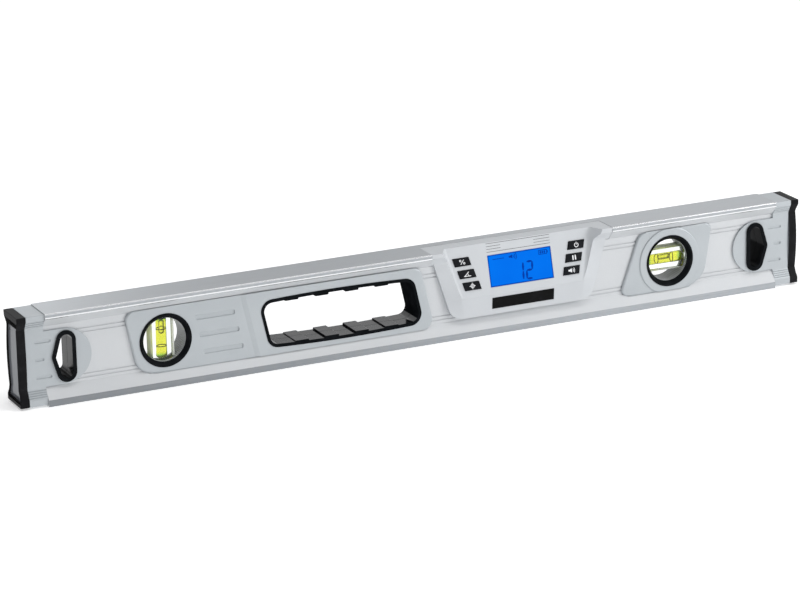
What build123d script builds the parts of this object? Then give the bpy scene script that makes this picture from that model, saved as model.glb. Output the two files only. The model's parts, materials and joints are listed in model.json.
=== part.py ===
"""A 60 cm digital spirit level: beam, ends, grip, two vials, display module and battery tray.

Millimetres. X runs along the beam, the front faces -Y, Z is up. The origin is the middle of the base.
"""
import os
from math import cos, radians, sin, tan

from build123d import *

os.makedirs("parts", exist_ok=True)

# Beam: an I section with milled lips at top and base and a fluted web between them
LENGTH = 600.0
BEAM_HEIGHT = 64.6
BEAM_WIDTH = 28.2
WEB_WIDTH = 16.0
WALL = 1.8
ROOF = 2.4
FLOOR = 4.0
TOP_LIP = 3.3
LIP_ROUND = 0.7
TOP_SLOPE = 6.8
BASE_LIP = 4.5
BASE_SLOPE = 8.0
FLUTE_DEPTH = 0.5
FLUTE_WIDTH = 1.1
FLUTE_PITCH = 2.75
FLUTE_FROM_MIDDLE = 14.6

# Gaps between pieces: seated pieces, round pieces in round holes, the turning pin
SEAT_GAP = 0.2
ROUND_GAP = 0.1
PIN_GAP = 0.05

# Ends: rubber cap, plastic sleeve with a tongue on each side of the web
CAP_LENGTH = 6.5
COLLAR_LENGTH = 13.1
END_SIDE_STEP = 1.15
END_TOP_STEP = 0.55
END_BASE_STEP = 1.2
TONGUE_THICKNESS = 1.5
TONGUE_RADIUS = 19.4
PLUG_LENGTH = 32.0
SPIGOT_WIDTH = 9.0
SPIGOT_HEIGHT = 40.0
SPIGOT_LENGTH = 8.0
CAP_LIP_TOP = 8.0
CAP_LIP_BASE = 7.5
CAP_NECK = 0.5
CAP_BELLY = 1.2
CAP_RECESS_DEPTH = 1.5
CAP_RECESS_SIDE = 0.9
CAP_RECESS_TOP = 4.6
CAP_RECESS_BASE = 3.2
SLEEVE_SLOT_LENGTH = 11.5
SLEEVE_SHORT_SLOT = 6.5
SLEEVE_SLOT_HEIGHT = 2.0
SLEEVE_SLOT_DEPTH = 0.7
SLEEVE_SLOT_FROM_END = 12.8
SLOT_ROW_PITCH = 12.4
SLEEVE_LINE_DEPTH = 0.3
SLEEVE_LINE_WIDTH = 0.4
SLEEVE_TOP_LINES = 3
SLEEVE_BASE_LINES = 4
VENT_DIAMETER = 1.4
VENT_DEPTH = 1.5
VENT_FROM_TOP = 12.5
VENT_FROM_MIDDLE = 6.7

# Hang holes: two round lobes towards the middle and a tip towards the end
HANG_FROM_END = 33.4
HANG_LOBE_RADIUS = 6.9
HANG_LOBE_SPREAD = 11.1
HANG_LOBE_IN = 1.4
HANG_TIP_RADIUS = 5.0
HANG_TIP_OUT = 3.9
HANG_RIM = 2.8
HANG_LIP = 1.2
HANG_PROUD = 1.3

# Vials and their windows
VIAL_FROM_END = 105.8
RING_DIAMETER = 37.9
RING_BARREL_DIAMETER = 36.2
RING_PROUD = 0.4
RING_MOUTH_DIAMETER = 34.8
CRADLE_BORE_DIAMETER = 30.6
VIAL_LENGTH = 33.4
VIAL_WIDTH = 16.0
VIAL_DEPTH = 10.6
VIAL_POCKET_WALL = 0.8
FLUID_DIAMETER = 7.8
VIAL_END = 2.5
VIAL_PLUG_LENGTH = 3.6
BUBBLE_DIAMETER = 4.4
BUBBLE_LENGTH = 10.0
BUBBLE_RAISE = 1.2
BUBBLE_GAP = 0.35
BUBBLE_TRAVEL = 7.5
MARK_SPREAD = 6.0
MARK_WIDTH = 0.6
MARK_THICKNESS = 0.15
MARK_GAP = 0.03

# Covers on the web
COVER_THICKNESS = 2.8
COVER_LOW_THICKNESS = 2.0
COVER_TOP_DROP = 8.6
COVER_BASE_RISE = 10.2
GRIP_OUTER_TOP = 29.5
GRIP_OUTER_LOW = 20.5
GRIP_OUTER_TOP_ROUND = 6.0
GRIP_OUTER_LOW_ROUND = 14.0
GRIP_END_MARGIN = 7.3
GRIP_END_ROUND = 7.0
GRIP_STEP_MARGIN = 11.4
GRIP_STEP_BAND = 3.4
BAR_LENGTH = 28.8
BAR_HEIGHT = 3.2
BAR_DEPTH = 0.8
BAR_ROUND = 0.8
BAR_FROM_VIAL = 39.2
LEVEL_INNER_TOP = 24.2
LEVEL_INNER_LOW = 40.6
LEVEL_INNER_TOP_ROUND = 8.0
LEVEL_INNER_LOW_ROUND = 5.0
LEVEL_OUTER_TOP = 35.6
LEVEL_OUTER_LOW = 28.2
LEVEL_OUTER_TOP_ROUND = 5.0
LEVEL_OUTER_LOW_ROUND = 18.0
LEVEL_BOSS_DIAMETER = 48.4

# Hand hole: leaning sides, arched top and floor, ribbed liner
GRIP_FROM_VIAL = 71.6
GRIP_FROM_MODULE = 80.4
GRIP_HEIGHT = 37.0
GRIP_ARCH = 1.5
GRIP_CORNER = 8.5
GRIP_RIM = 2.4
GRIP_LIP = 0.9
GRIP_PROUD = 0.4
LEAN = 0.22
RIB_PITCH = 22.6
RIB_END_MARGIN = 14.5
RIB_WIDTH = 10.0
RIB_HEIGHT = 1.4

# Screws through the beam: from the back into posts of the front pieces
POST_DIAMETER = 6.0
SCREW_DIAMETER = 2.8
SCREW_HEAD_DIAMETER = 5.2
SCREW_HEAD_HEIGHT = 1.3
SCREW_LENGTH = 11.0
DRIVE_WIDTH = 0.8
DRIVE_DEPTH = 0.7
GRIP_POST_SPREAD = 20.0
GRIP_POST_RISE = 25.0
LEVEL_POST_INNER = (-28.7, -12.3)
LEVEL_POST_OUTER = (23.0, 16.7)

# Display module: a saddle over the top edge and a panel that leans back towards its top
MODULE_FROM_VIAL = 119.2
SADDLE_LENGTH = 142.0
SADDLE_BACK = 6.5
SADDLE_DROP = 0.2
SADDLE_WALL = 2.2
PANEL_TILT = 14.25
PANEL_TOP_Y = 4.2
PANEL_HEIGHT = 37.0
PANEL_TOP_WIDTH = 115.6
PANEL_LEAN = 0.25
PANEL_WALL = 2.0
PANEL_DRAFT = 31.0
PANEL_ROUND = 3.0
LOWER_TILT = 4.4
MODULE_BASE = 14.3
MODULE_BASE_WIDTH = 110.0
MODULE_BASE_FACE = 92.0
MODULE_BASE_EDGE = 11.3
MODULE_FOLD_EDGE = 10.8
MODULE_SHOULDER_DROP = 6.6
MODULE_SHOULDER_WIDTH = 137.0
MODULE_SHOULDER_FACE = 114.0
MODULE_SHOULDER_EDGE = 9.3
MODULE_SHOULDER_OUT = 9.7
MODULE_CORNER = 10.0
MODULE_TRIM = 2.0
FLANK_ROUND = 8.0
VALLEY_ROUND = 3.0
SKIRT_WALL = 1.6
SKIRT_BASE = 18.0
SKIRT_DEPTH = 10.0
POST_LOW_U = 52.8
POST_LOW_RISE = 23.0
POST_HIGH_U = 59.5
POST_HIGH_DROP = 16.6

# Display stack behind the panel
WINDOW_WIDTH = 49.6
WINDOW_HEIGHT = 22.4
WINDOW_DOWN = 20.55
WINDOW_THICKNESS = 1.2
WINDOW_LEDGE = 1.5
LCD_WIDTH = 52.6
LCD_HEIGHT = 25.4
LCD_THICKNESS = 1.8
BACKLIGHT_THICKNESS = 1.6
BOARD_THICKNESS = 1.6
BOARD_GAP = 1.0
BOARD_TOP = 3.5
BOARD_HEIGHT = 31.5
BOARD_POST_U = 29.4
BOARD_POST_ROWS = (5.8, 33.0)
BOARD_POST_DIAMETER = 4.0
BOARD_SCREW_DIAMETER = 1.6
BOARD_SCREW_HEAD = 3.4
BOARD_SCREW_HEAD_HEIGHT = 1.0
BOARD_SCREW_LENGTH = 4.4
SENSOR_SIZE = 9.0
SENSOR_HEIGHT = 2.4
SENSOR_U = -16.0
SENSOR_DOWN = 9.5
BUZZER_DIAMETER = 9.0
BUZZER_HEIGHT = 2.6
BUZZER_U = 16.0
PLATE_WIDTH = 48.5
PLATE_HEIGHT = 8.0
PLATE_THICKNESS = 0.8
PLATE_SINK = 0.5
PLATE_DOWN = 6.5

# Keys: leaning blocks in three rows on each side of the window
KEY_WIDTH = 12.4
KEY_HEIGHT = 5.5
KEY_PROUD = 0.9
KEY_TRAVEL = 0.7
KEY_FLANGE = 0.6
KEY_FLANGE_THICKNESS = 0.8
KEY_FLANGE_GAP = 0.05
KEY_GAP = 0.3
KEY_U = 45.0
KEY_DOWN = 11.0
KEY_ROW_PITCH = 8.8
KEY_ROW_STEP = 2.85
KEY_ROUND = 0.35
SWITCH_SIZE = 4.0
SWITCH_GAP = 0.25

# Rear housing, battery tray and door
REAR_TOP_WIDTH = 134.0
REAR_LOW_WIDTH = 116.0
REAR_THICKNESS = 3.8
REAR_ROUND = 8.0
CELL_DIAMETER = 10.5
CELL_LENGTH = 43.7
CELL_NUB_DIAMETER = 3.8
CELL_NUB_LENGTH = 0.8
CELL_PITCH = 11.4
CELL_GAP = 0.15
TRAY_WALL = 1.2
TRAY_Z = 30.0
CONTACT_SIZE = 8.0
CONTACT_THICKNESS = 0.5
CONTACT_HEIGHT = 2.6
CONTACT_ROOT_DIAMETER = 6.0
CONTACT_TIP_DIAMETER = 3.6
DOOR_LENGTH = 59.0
DOOR_THICKNESS = 1.7
DOOR_OVERLAP = 2.6
DOOR_GAP = 0.1
HINGE_DIAMETER = 3.2
HINGE_DROP = 3.0
PIN_DIAMETER = 1.5
PIN_HOLD = 3.0
THUMB_RIDGES = 3
THUMB_WIDTH = 14.0
THUMB_HEIGHT = 0.9
THUMB_PITCH = 2.2
THUMB_PROUD = 0.5

# Places that follow from the sizes above
MID_Z = BEAM_HEIGHT / 2
FLANGE_HALF = BEAM_WIDTH / 2
WEB_HALF = WEB_WIDTH / 2
WEB_LOW = BASE_LIP + BASE_SLOPE
WEB_HIGH = BEAM_HEIGHT - TOP_LIP - TOP_SLOPE
CAP_START = LENGTH / 2 - CAP_LENGTH
BEAM_END = CAP_START - COLLAR_LENGTH
HANG_X = LENGTH / 2 - HANG_FROM_END
VIAL_X = LENGTH / 2 - VIAL_FROM_END
PLUMB_X = -VIAL_X
LEVEL_X = VIAL_X
MODULE_X = LEVEL_X - MODULE_FROM_VIAL
GRIP_LEFT = PLUMB_X + GRIP_FROM_VIAL
GRIP_RIGHT = MODULE_X - GRIP_FROM_MODULE
GRIP_X = (GRIP_LEFT + GRIP_RIGHT) / 2
GRIP_WIDTH = GRIP_RIGHT - GRIP_LEFT
RIB_COUNT = 1 + int((GRIP_WIDTH - 2 * RIB_END_MARGIN - RIB_WIDTH) / RIB_PITCH)
END_FLANGE = FLANGE_HALF - END_SIDE_STEP
END_WEB = WEB_HALF + TONGUE_THICKNESS
END_TOP = BEAM_HEIGHT - END_TOP_STEP
COVER_FACE = WEB_HALF + COVER_THICKNESS
COVER_LOW_FACE = WEB_HALF + COVER_LOW_THICKNESS
COVER_TOP = BEAM_HEIGHT - COVER_TOP_DROP
BAR_X = PLUMB_X + BAR_FROM_VIAL
SLOT_ROWS = (SLOT_ROW_PITCH, 0, -SLOT_ROW_PITCH)
BARREL_RADIUS = RING_BARREL_DIAMETER / 2
REAR_FACE = WEB_HALF + REAR_THICKNESS
REACH = BEAM_WIDTH


def section_points(flange, web, low, high, lip_low, lip_high, web_low, web_high):
    """Corners of the I shape as (y, z), up one side and down the other."""
    side = [
        (flange, low),
        (flange, low + lip_low),
        (web, web_low),
        (web, web_high),
        (flange, high - lip_high),
        (flange, high),
    ]
    return side + [(-y, z) for y, z in reversed(side)]


def cap_section(rim):
    """The cap's I shape with bellied sides as (y, z), drawn in by the width of a rim."""
    flange = END_FLANGE - rim
    neck = END_WEB - rim
    with BuildSketch() as section:
        with BuildLine():
            for face in (-1, 1):
                Polyline(
                    (0, END_TOP),
                    (face * flange, END_TOP),
                    (face * flange, END_TOP - TOP_LIP),
                    (face * neck, WEB_HIGH),
                )
                ThreePointArc(
                    (face * neck, WEB_HIGH),
                    (face * (neck + CAP_BELLY), (WEB_HIGH + WEB_LOW) / 2),
                    (face * neck, WEB_LOW),
                )
                Polyline(
                    (face * neck, WEB_LOW),
                    (face * flange, END_BASE_STEP + BASE_LIP),
                    (face * flange, END_BASE_STEP),
                    (0, END_BASE_STEP),
                )
        make_face()
    return section.sketch


def hang_profile(side, grow):
    """Hang-hole outline round its own centre; the tip points to the end given by side."""
    with BuildSketch() as profile:
        with Locations((-side * HANG_LOBE_IN, HANG_LOBE_SPREAD), (-side * HANG_LOBE_IN, -HANG_LOBE_SPREAD)):
            Circle(HANG_LOBE_RADIUS + grow)
        with Locations((side * HANG_TIP_OUT, 0)):
            Circle(HANG_TIP_RADIUS + grow)
        make_hull()
    return profile.sketch


def grip_profile(grow):
    """Hand-hole outline round its own centre."""
    half = GRIP_WIDTH / 2 + grow
    rise = GRIP_HEIGHT / 2 + grow
    edge = rise - GRIP_ARCH
    with BuildSketch() as profile:
        with BuildLine():
            Line((-half + LEAN * edge, -edge), (-half - LEAN * edge, edge))
            ThreePointArc((-half - LEAN * edge, edge), (0, rise), (half - LEAN * edge, edge))
            Line((half - LEAN * edge, edge), (half + LEAN * edge, -edge))
            ThreePointArc((half + LEAN * edge, -edge), (0, -rise), (-half + LEAN * edge, -edge))
        make_face()
        fillet(profile.vertices(), radius=GRIP_CORNER + grow)
    return profile.sketch


def leaning_edge(x, z):
    """X of a leaning line that crosses mid-height at x."""
    return x - LEAN * (z - MID_Z)


beam_points = section_points(
    FLANGE_HALF, WEB_HALF, 0, BEAM_HEIGHT, BASE_LIP, TOP_LIP, WEB_LOW, WEB_HIGH
)
seat_points = section_points(
    FLANGE_HALF, WEB_HALF, 0, BEAM_HEIGHT,
    BASE_LIP + SEAT_GAP, TOP_LIP + SEAT_GAP, WEB_LOW + SEAT_GAP, WEB_HIGH - SEAT_GAP
)
end_points = section_points(
    END_FLANGE, END_WEB, END_BASE_STEP, END_TOP, BASE_LIP, TOP_LIP, WEB_LOW, WEB_HIGH
)
sleeve_lines = [
    (face * (END_FLANGE + share * (END_WEB - END_FLANGE)), lip_z + share * (web_z - lip_z))
    for lip_z, web_z, count in (
        (END_TOP - TOP_LIP, WEB_HIGH, SLEEVE_TOP_LINES),
        (END_BASE_STEP + BASE_LIP, WEB_LOW, SLEEVE_BASE_LINES),
    )
    for share in [(row + 1) / (count + 1) for row in range(count)]
    for face in (-1, 1)
]
grip_rim = grip_profile(0)
grip_barrel = grip_profile(-GRIP_LIP)
grip_cutout = grip_profile(SEAT_GAP - GRIP_LIP)
grip_opening = grip_profile(-GRIP_RIM)
with BuildSketch() as grip_ribs:
    for up in (-1, 1):
        rib_z = up * (GRIP_HEIGHT / 2 - GRIP_RIM)
        with Locations((-LEAN * rib_z, rib_z + up * (GRIP_RIM - RIB_HEIGHT) / 2)):
            with GridLocations(RIB_PITCH, 0, RIB_COUNT, 1):
                Rectangle(RIB_WIDTH, RIB_HEIGHT + GRIP_RIM)
    add(grip_barrel, mode=Mode.INTERSECT)
grip_posts = [
    (leaning_edge(BAR_X + across / 2, MID_Z + up / 2), MID_Z + up / 2)
    for across in (-GRIP_POST_SPREAD, GRIP_POST_SPREAD)
    for up in (-GRIP_POST_RISE, GRIP_POST_RISE)
]
level_posts = [(LEVEL_X + x, MID_Z + z) for x, z in (LEVEL_POST_INNER, LEVEL_POST_OUTER)]
module_posts = [
    (MODULE_X + side * u, z)
    for side in (-1, 1)
    for u, z in ((POST_LOW_U, POST_LOW_RISE), (POST_HIGH_U, BEAM_HEIGHT - POST_HIGH_DROP))
]
TRAY_LENGTH = CELL_LENGTH + CELL_NUB_LENGTH + 2 * (CONTACT_THICKNESS + CONTACT_HEIGHT + CELL_GAP)
TRAY_HEIGHT = CELL_PITCH + CELL_DIAMETER + 2 * CELL_GAP
DOOR_INNER = REAR_FACE - DOOR_THICKNESS
CELL_Y = DOOR_INNER - CELL_GAP - CELL_DIAMETER / 2
TRAY_FLOOR = CELL_Y - CELL_DIAMETER / 2 - CELL_GAP

# Planes and widths of the display panel
panel = Plane(
    origin=(MODULE_X, -PANEL_TOP_Y, BEAM_HEIGHT),
    x_dir=(1, 0, 0),
    z_dir=(0, -cos(radians(PANEL_TILT)), sin(radians(PANEL_TILT))),
)
fold_y = -PANEL_TOP_Y - PANEL_HEIGHT * sin(radians(PANEL_TILT))
fold_z = BEAM_HEIGHT - PANEL_HEIGHT * cos(radians(PANEL_TILT))
lower = Plane(
    origin=(MODULE_X, fold_y, fold_z),
    x_dir=(1, 0, 0),
    z_dir=(0, -cos(radians(LOWER_TILT)), -sin(radians(LOWER_TILT))),
)
base_face_y = fold_y + (fold_z - MODULE_BASE) * tan(radians(LOWER_TILT))
shoulder_z = BEAM_HEIGHT - MODULE_SHOULDER_DROP
sink_z = BEAM_HEIGHT - (WEB_HALF - PANEL_TOP_Y) / tan(radians(PANEL_TILT))
saddle_top = BEAM_HEIGHT - SADDLE_DROP
saddle_under = saddle_top - SADDLE_WALL
BOARD_FRONT = PANEL_WALL + LCD_THICKNESS + BACKLIGHT_THICKNESS
BOARD_BACK = BOARD_FRONT + BOARD_THICKNESS


def panel_half(down):
    """Half the panel's width at a distance down the panel from its top edge."""
    return PANEL_TOP_WIDTH / 2 - PANEL_LEAN * down


def cavity_half(z):
    """Half the housing's inside width at a height."""
    return panel_half((BEAM_HEIGHT - z) / cos(radians(PANEL_TILT))) - PANEL_WALL


def module_half(z):
    """Half the module's width at a height, along its straight leaning side."""
    share = (z - MODULE_BASE) / (shoulder_z - MODULE_BASE)
    return (MODULE_BASE_WIDTH + share * (MODULE_SHOULDER_WIDTH - MODULE_BASE_WIDTH)) / 2


def symmetric(half_points):
    """A closed outline from the points of its right half, top to bottom."""
    return half_points + [(-u, v) for u, v in reversed(half_points)]


def skirt_points(grow):
    """Outline of the housing's skirt in the web, wider where the panel lies behind the web's face."""
    low = SKIRT_BASE - grow
    draft_reach = (WEB_HALF - PANEL_TOP_Y) * tan(radians(PANEL_DRAFT))
    return symmetric(
        [
            (panel_half(0) + draft_reach + SKIRT_WALL + grow, saddle_under),
            (cavity_half(sink_z) + PANEL_WALL + SKIRT_WALL + grow, sink_z),
            (cavity_half(low) + SKIRT_WALL + grow, low),
        ]
    )


def key_points(side, row, grow):
    """Corners of a leaning key on the panel."""
    u = side * (KEY_U - KEY_ROW_STEP * row)
    v = -(KEY_DOWN + KEY_ROW_PITCH * row)
    half = KEY_WIDTH / 2 + grow
    rise = KEY_HEIGHT / 2 + grow
    shift = side * PANEL_LEAN * rise
    return [
        (u - half + shift, v + rise),
        (u + half + shift, v + rise),
        (u + half - shift, v - rise),
        (u - half - shift, v - rise),
    ]


key_names = [
    (f"key_{side_name}_{row_name}", side, row)
    for side_name, side in (("left", -1), ("right", 1))
    for row, row_name in enumerate(("top", "middle", "low"))
]
board_posts = [(side * BOARD_POST_U, -down) for side in (-1, 1) for down in BOARD_POST_ROWS]

# Beam
with BuildPart() as beam:
    with BuildSketch(Plane.YZ) as beam_section:
        Polygon(*beam_points, align=None)
        lip_corners = beam_section.vertices().group_by(Axis.Y)[-2:]
        fillet([corner for pair in lip_corners for corner in pair], radius=LIP_ROUND)
        with Locations((0, (FLOOR + BEAM_HEIGHT - ROOF) / 2)):
            Rectangle(WEB_WIDTH - 2 * WALL, BEAM_HEIGHT - ROOF - FLOOR, mode=Mode.SUBTRACT)
        flute_rows = [
            (side * WEB_HALF, MID_Z + up * (FLUTE_FROM_MIDDLE + row * FLUTE_PITCH))
            for side in (-1, 1)
            for up in (-1, 1)
            for row in (0, 1)
        ]
        with Locations(*flute_rows):
            Rectangle(2 * FLUTE_DEPTH, FLUTE_WIDTH, mode=Mode.SUBTRACT)
    extrude(amount=BEAM_END, both=True)
    with BuildSketch(Plane.XZ):
        for side in (-1, 1):
            with Locations((side * HANG_X, MID_Z)):
                add(hang_profile(side, SEAT_GAP - HANG_LIP))
        with Locations((PLUMB_X, MID_Z), (LEVEL_X, MID_Z)):
            Circle(BARREL_RADIUS + SEAT_GAP)
        with Locations((GRIP_X, MID_Z)):
            add(grip_cutout)
        with Locations(*grip_posts, *level_posts, *module_posts):
            Circle(POST_DIAMETER / 2 + SEAT_GAP)
    extrude(amount=REACH, both=True, mode=Mode.SUBTRACT)
    with BuildSketch(Plane.XZ):
        with Locations((MODULE_X, 0)):
            Polygon(*skirt_points(SEAT_GAP), align=None)
    extrude(amount=REACH, mode=Mode.SUBTRACT)
    with BuildSketch(Plane.XZ.offset(-SADDLE_BACK)):
        with Locations((MODULE_X, (WEB_HIGH + BEAM_HEIGHT) / 2)):
            Rectangle(SADDLE_LENGTH, BEAM_HEIGHT - WEB_HIGH)
    extrude(amount=REACH, mode=Mode.SUBTRACT)
    with BuildSketch(Plane.XZ):
        with Locations((MODULE_X, TRAY_Z)):
            Rectangle(
                TRAY_LENGTH + 2 * (TRAY_WALL + SEAT_GAP), TRAY_HEIGHT + 2 * (TRAY_WALL + SEAT_GAP)
            )
    extrude(amount=-REACH, mode=Mode.SUBTRACT)

pieces = {"beam": beam.part}

# End sleeves, caps and hang-hole liners, the same at both ends
for end_name, side in (("left", -1), ("right", 1)):
    with BuildPart() as sleeve:
        with BuildSketch(Plane.YZ.offset(side * BEAM_END)):
            Polygon(*end_points, align=None)
            with Locations(*sleeve_lines):
                Rectangle(2 * SLEEVE_LINE_DEPTH, SLEEVE_LINE_WIDTH, mode=Mode.SUBTRACT)
        extrude(amount=side * COLLAR_LENGTH)
        with BuildSketch(Plane.YZ.offset(side * BEAM_END)):
            with Locations((0, (FLOOR + BEAM_HEIGHT - ROOF) / 2)):
                Rectangle(
                    WEB_WIDTH - 2 * (WALL + SEAT_GAP), BEAM_HEIGHT - ROOF - FLOOR - 2 * SEAT_GAP
                )
        extrude(amount=-side * PLUG_LENGTH)
        for face in (-1, 1):
            with BuildSketch(Plane.XZ.offset(face * WEB_HALF)):
                with Locations((side * (HANG_X + BEAM_END + COLLAR_LENGTH / 2) / 2, MID_Z)):
                    Rectangle(BEAM_END + COLLAR_LENGTH / 2 - HANG_X, 2 * TONGUE_RADIUS)
                with Locations((side * HANG_X, MID_Z)):
                    Circle(TONGUE_RADIUS)
            extrude(amount=face * TONGUE_THICKNESS)
        with BuildSketch(Plane.XZ):
            with Locations((side * HANG_X, MID_Z)):
                add(hang_profile(side, SEAT_GAP - HANG_LIP))
        extrude(amount=REACH, both=True, mode=Mode.SUBTRACT)
        for face in (-1, 1):
            with BuildSketch(Plane.XZ.offset(face * END_WEB)):
                for row in SLOT_ROWS:
                    slot = SLEEVE_SLOT_LENGTH if row else SLEEVE_SHORT_SLOT
                    with Locations((side * (LENGTH / 2 - SLEEVE_SLOT_FROM_END - slot / 2), MID_Z + row)):
                        SlotOverall(slot, SLEEVE_SLOT_HEIGHT)
            extrude(amount=-face * SLEEVE_SLOT_DEPTH, mode=Mode.SUBTRACT)
        with BuildSketch(Plane.YZ.offset(side * CAP_START)):
            with Locations((0, MID_Z)):
                Rectangle(SPIGOT_WIDTH + 2 * SEAT_GAP, SPIGOT_HEIGHT + 2 * SEAT_GAP)
        extrude(amount=-side * (SPIGOT_LENGTH + SEAT_GAP), mode=Mode.SUBTRACT)
    pieces[f"sleeve_{end_name}"] = sleeve.part

    end_x = side * LENGTH / 2
    neck_x = end_x - side * CAP_NECK
    lip_top = END_TOP - CAP_LIP_TOP
    lip_base = END_BASE_STEP + CAP_LIP_BASE
    recess_top = END_TOP - CAP_RECESS_TOP
    recess_base = END_BASE_STEP + CAP_RECESS_BASE
    recess_x = neck_x - side * CAP_RECESS_DEPTH
    with BuildPart() as cap_recess:
        with BuildSketch(Plane.YZ.offset(side * CAP_START)):
            add(cap_section(CAP_RECESS_SIDE))
        extrude(amount=side * 2 * CAP_LENGTH)
        with BuildSketch(Plane.XZ):
            with BuildLine():
                ThreePointArc(
                    (recess_x, recess_base),
                    (end_x - side * CAP_RECESS_DEPTH, MID_Z),
                    (recess_x, recess_top),
                )
                Polyline(
                    (recess_x, recess_top),
                    (2 * end_x, recess_top),
                    (2 * end_x, recess_base),
                    (recess_x, recess_base),
                )
            make_face()
        extrude(amount=REACH, both=True, mode=Mode.INTERSECT)

    with BuildPart() as cap:
        with BuildSketch(Plane.YZ.offset(side * CAP_START)):
            add(cap_section(0))
        extrude(amount=side * CAP_LENGTH)
        with BuildSketch(Plane.XZ):
            with BuildLine():
                Polyline(
                    (0, END_TOP),
                    (end_x, END_TOP),
                    (end_x, (END_TOP + lip_top) / 2),
                    (neck_x, lip_top),
                )
                ThreePointArc((neck_x, lip_top), (end_x, MID_Z), (neck_x, lip_base))
                Polyline(
                    (neck_x, lip_base),
                    (end_x, (END_BASE_STEP + lip_base) / 2),
                    (end_x, END_BASE_STEP),
                    (0, END_BASE_STEP),
                    (0, END_TOP),
                )
            make_face()
        extrude(amount=REACH, both=True, mode=Mode.INTERSECT)
        add(cap_recess.part, mode=Mode.SUBTRACT)
        with BuildSketch(Plane.YZ.offset(recess_x)):
            with Locations((VENT_FROM_MIDDLE, END_TOP - VENT_FROM_TOP)):
                Circle(VENT_DIAMETER / 2)
        extrude(amount=VENT_DEPTH, both=True, mode=Mode.SUBTRACT)
        with BuildSketch(Plane.YZ.offset(side * CAP_START)):
            with Locations((0, MID_Z)):
                Rectangle(SPIGOT_WIDTH, SPIGOT_HEIGHT)
        extrude(amount=-side * SPIGOT_LENGTH)
    pieces[f"cap_{end_name}"] = cap.part

    hang_rim = hang_profile(side, 0)
    hang_barrel = hang_profile(side, -HANG_LIP)
    hang_opening = hang_profile(side, -HANG_RIM)
    for face_name, face in (("front", 1), ("back", -1)):
        with BuildPart() as hang_liner:
            with BuildSketch(Plane.XZ):
                with Locations((side * HANG_X, MID_Z)):
                    add(hang_barrel)
            extrude(amount=face * END_WEB)
            with BuildSketch(Plane.XZ.offset(face * END_WEB)):
                with Locations((side * HANG_X, MID_Z)):
                    add(hang_rim)
            extrude(amount=face * HANG_PROUD)
            with BuildSketch(Plane.XZ):
                with Locations((side * HANG_X, MID_Z)):
                    add(hang_opening)
            extrude(amount=face * REACH, mode=Mode.SUBTRACT)
        pieces[f"hang_liner_{end_name}_{face_name}"] = hang_liner.part

# Outlines of the two covers
grip_end_x = GRIP_X + GRIP_WIDTH / 2 + GRIP_END_MARGIN
grip_corners = (
    (PLUMB_X - GRIP_OUTER_TOP, COVER_TOP, GRIP_OUTER_TOP_ROUND),
    (leaning_edge(grip_end_x, COVER_TOP), COVER_TOP, GRIP_END_ROUND),
    (leaning_edge(grip_end_x, COVER_BASE_RISE), COVER_BASE_RISE, GRIP_END_ROUND),
    (PLUMB_X - GRIP_OUTER_LOW, COVER_BASE_RISE, GRIP_OUTER_LOW_ROUND),
)
level_corners = (
    (LEVEL_X - LEVEL_INNER_TOP, COVER_TOP, LEVEL_INNER_TOP_ROUND),
    (LEVEL_X + LEVEL_OUTER_TOP, COVER_TOP, LEVEL_OUTER_TOP_ROUND),
    (LEVEL_X + LEVEL_OUTER_LOW, COVER_BASE_RISE, LEVEL_OUTER_LOW_ROUND),
    (LEVEL_X - LEVEL_INNER_LOW, COVER_BASE_RISE, LEVEL_INNER_LOW_ROUND),
)


def rounded_outline(corners):
    """Polygon whose corners (x, z, radius) are each rounded by their own radius."""
    with BuildSketch() as outline:
        Polygon(*[(x, z) for x, z, _ in corners], align=None)
        for x, z, radius in corners:
            fillet(outline.vertices().sort_by_distance((x, z))[0], radius=radius)
    return outline.sketch


def raised_outline(step_x):
    """The grip cover's outline to the right of a leaning line."""
    with BuildSketch() as raised:
        add(grip_outline)
        Polygon(
            (leaning_edge(step_x, BEAM_HEIGHT), BEAM_HEIGHT),
            (leaning_edge(step_x, 0), 0),
            (-LENGTH / 2, 0),
            (-LENGTH / 2, BEAM_HEIGHT),
            align=None,
            mode=Mode.SUBTRACT,
        )
    return raised.sketch


def screw_sink(plane, points):
    """Places for countersunk holes on the outer face of a back piece."""
    return [plane * Pos(x, -z) for x, z in points]


grip_outline = rounded_outline(grip_corners)
level_outline = rounded_outline(level_corners)
step_x = GRIP_X - GRIP_WIDTH / 2 - GRIP_STEP_MARGIN
raised_foot = raised_outline(step_x)
raised_top = raised_outline(step_x + GRIP_STEP_BAND)
with BuildSketch() as level_boss:
    add(level_outline)
    with Locations((LEVEL_X, MID_Z)):
        Circle(LEVEL_BOSS_DIAMETER / 2, mode=Mode.INTERSECT)
sink_radius = SCREW_HEAD_DIAMETER / 2 + ROUND_GAP
screw_hole_radius = SCREW_DIAMETER / 2 + ROUND_GAP
BACK = Plane(origin=(0, 0, 0), x_dir=(1, 0, 0), z_dir=(0, 1, 0))

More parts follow.
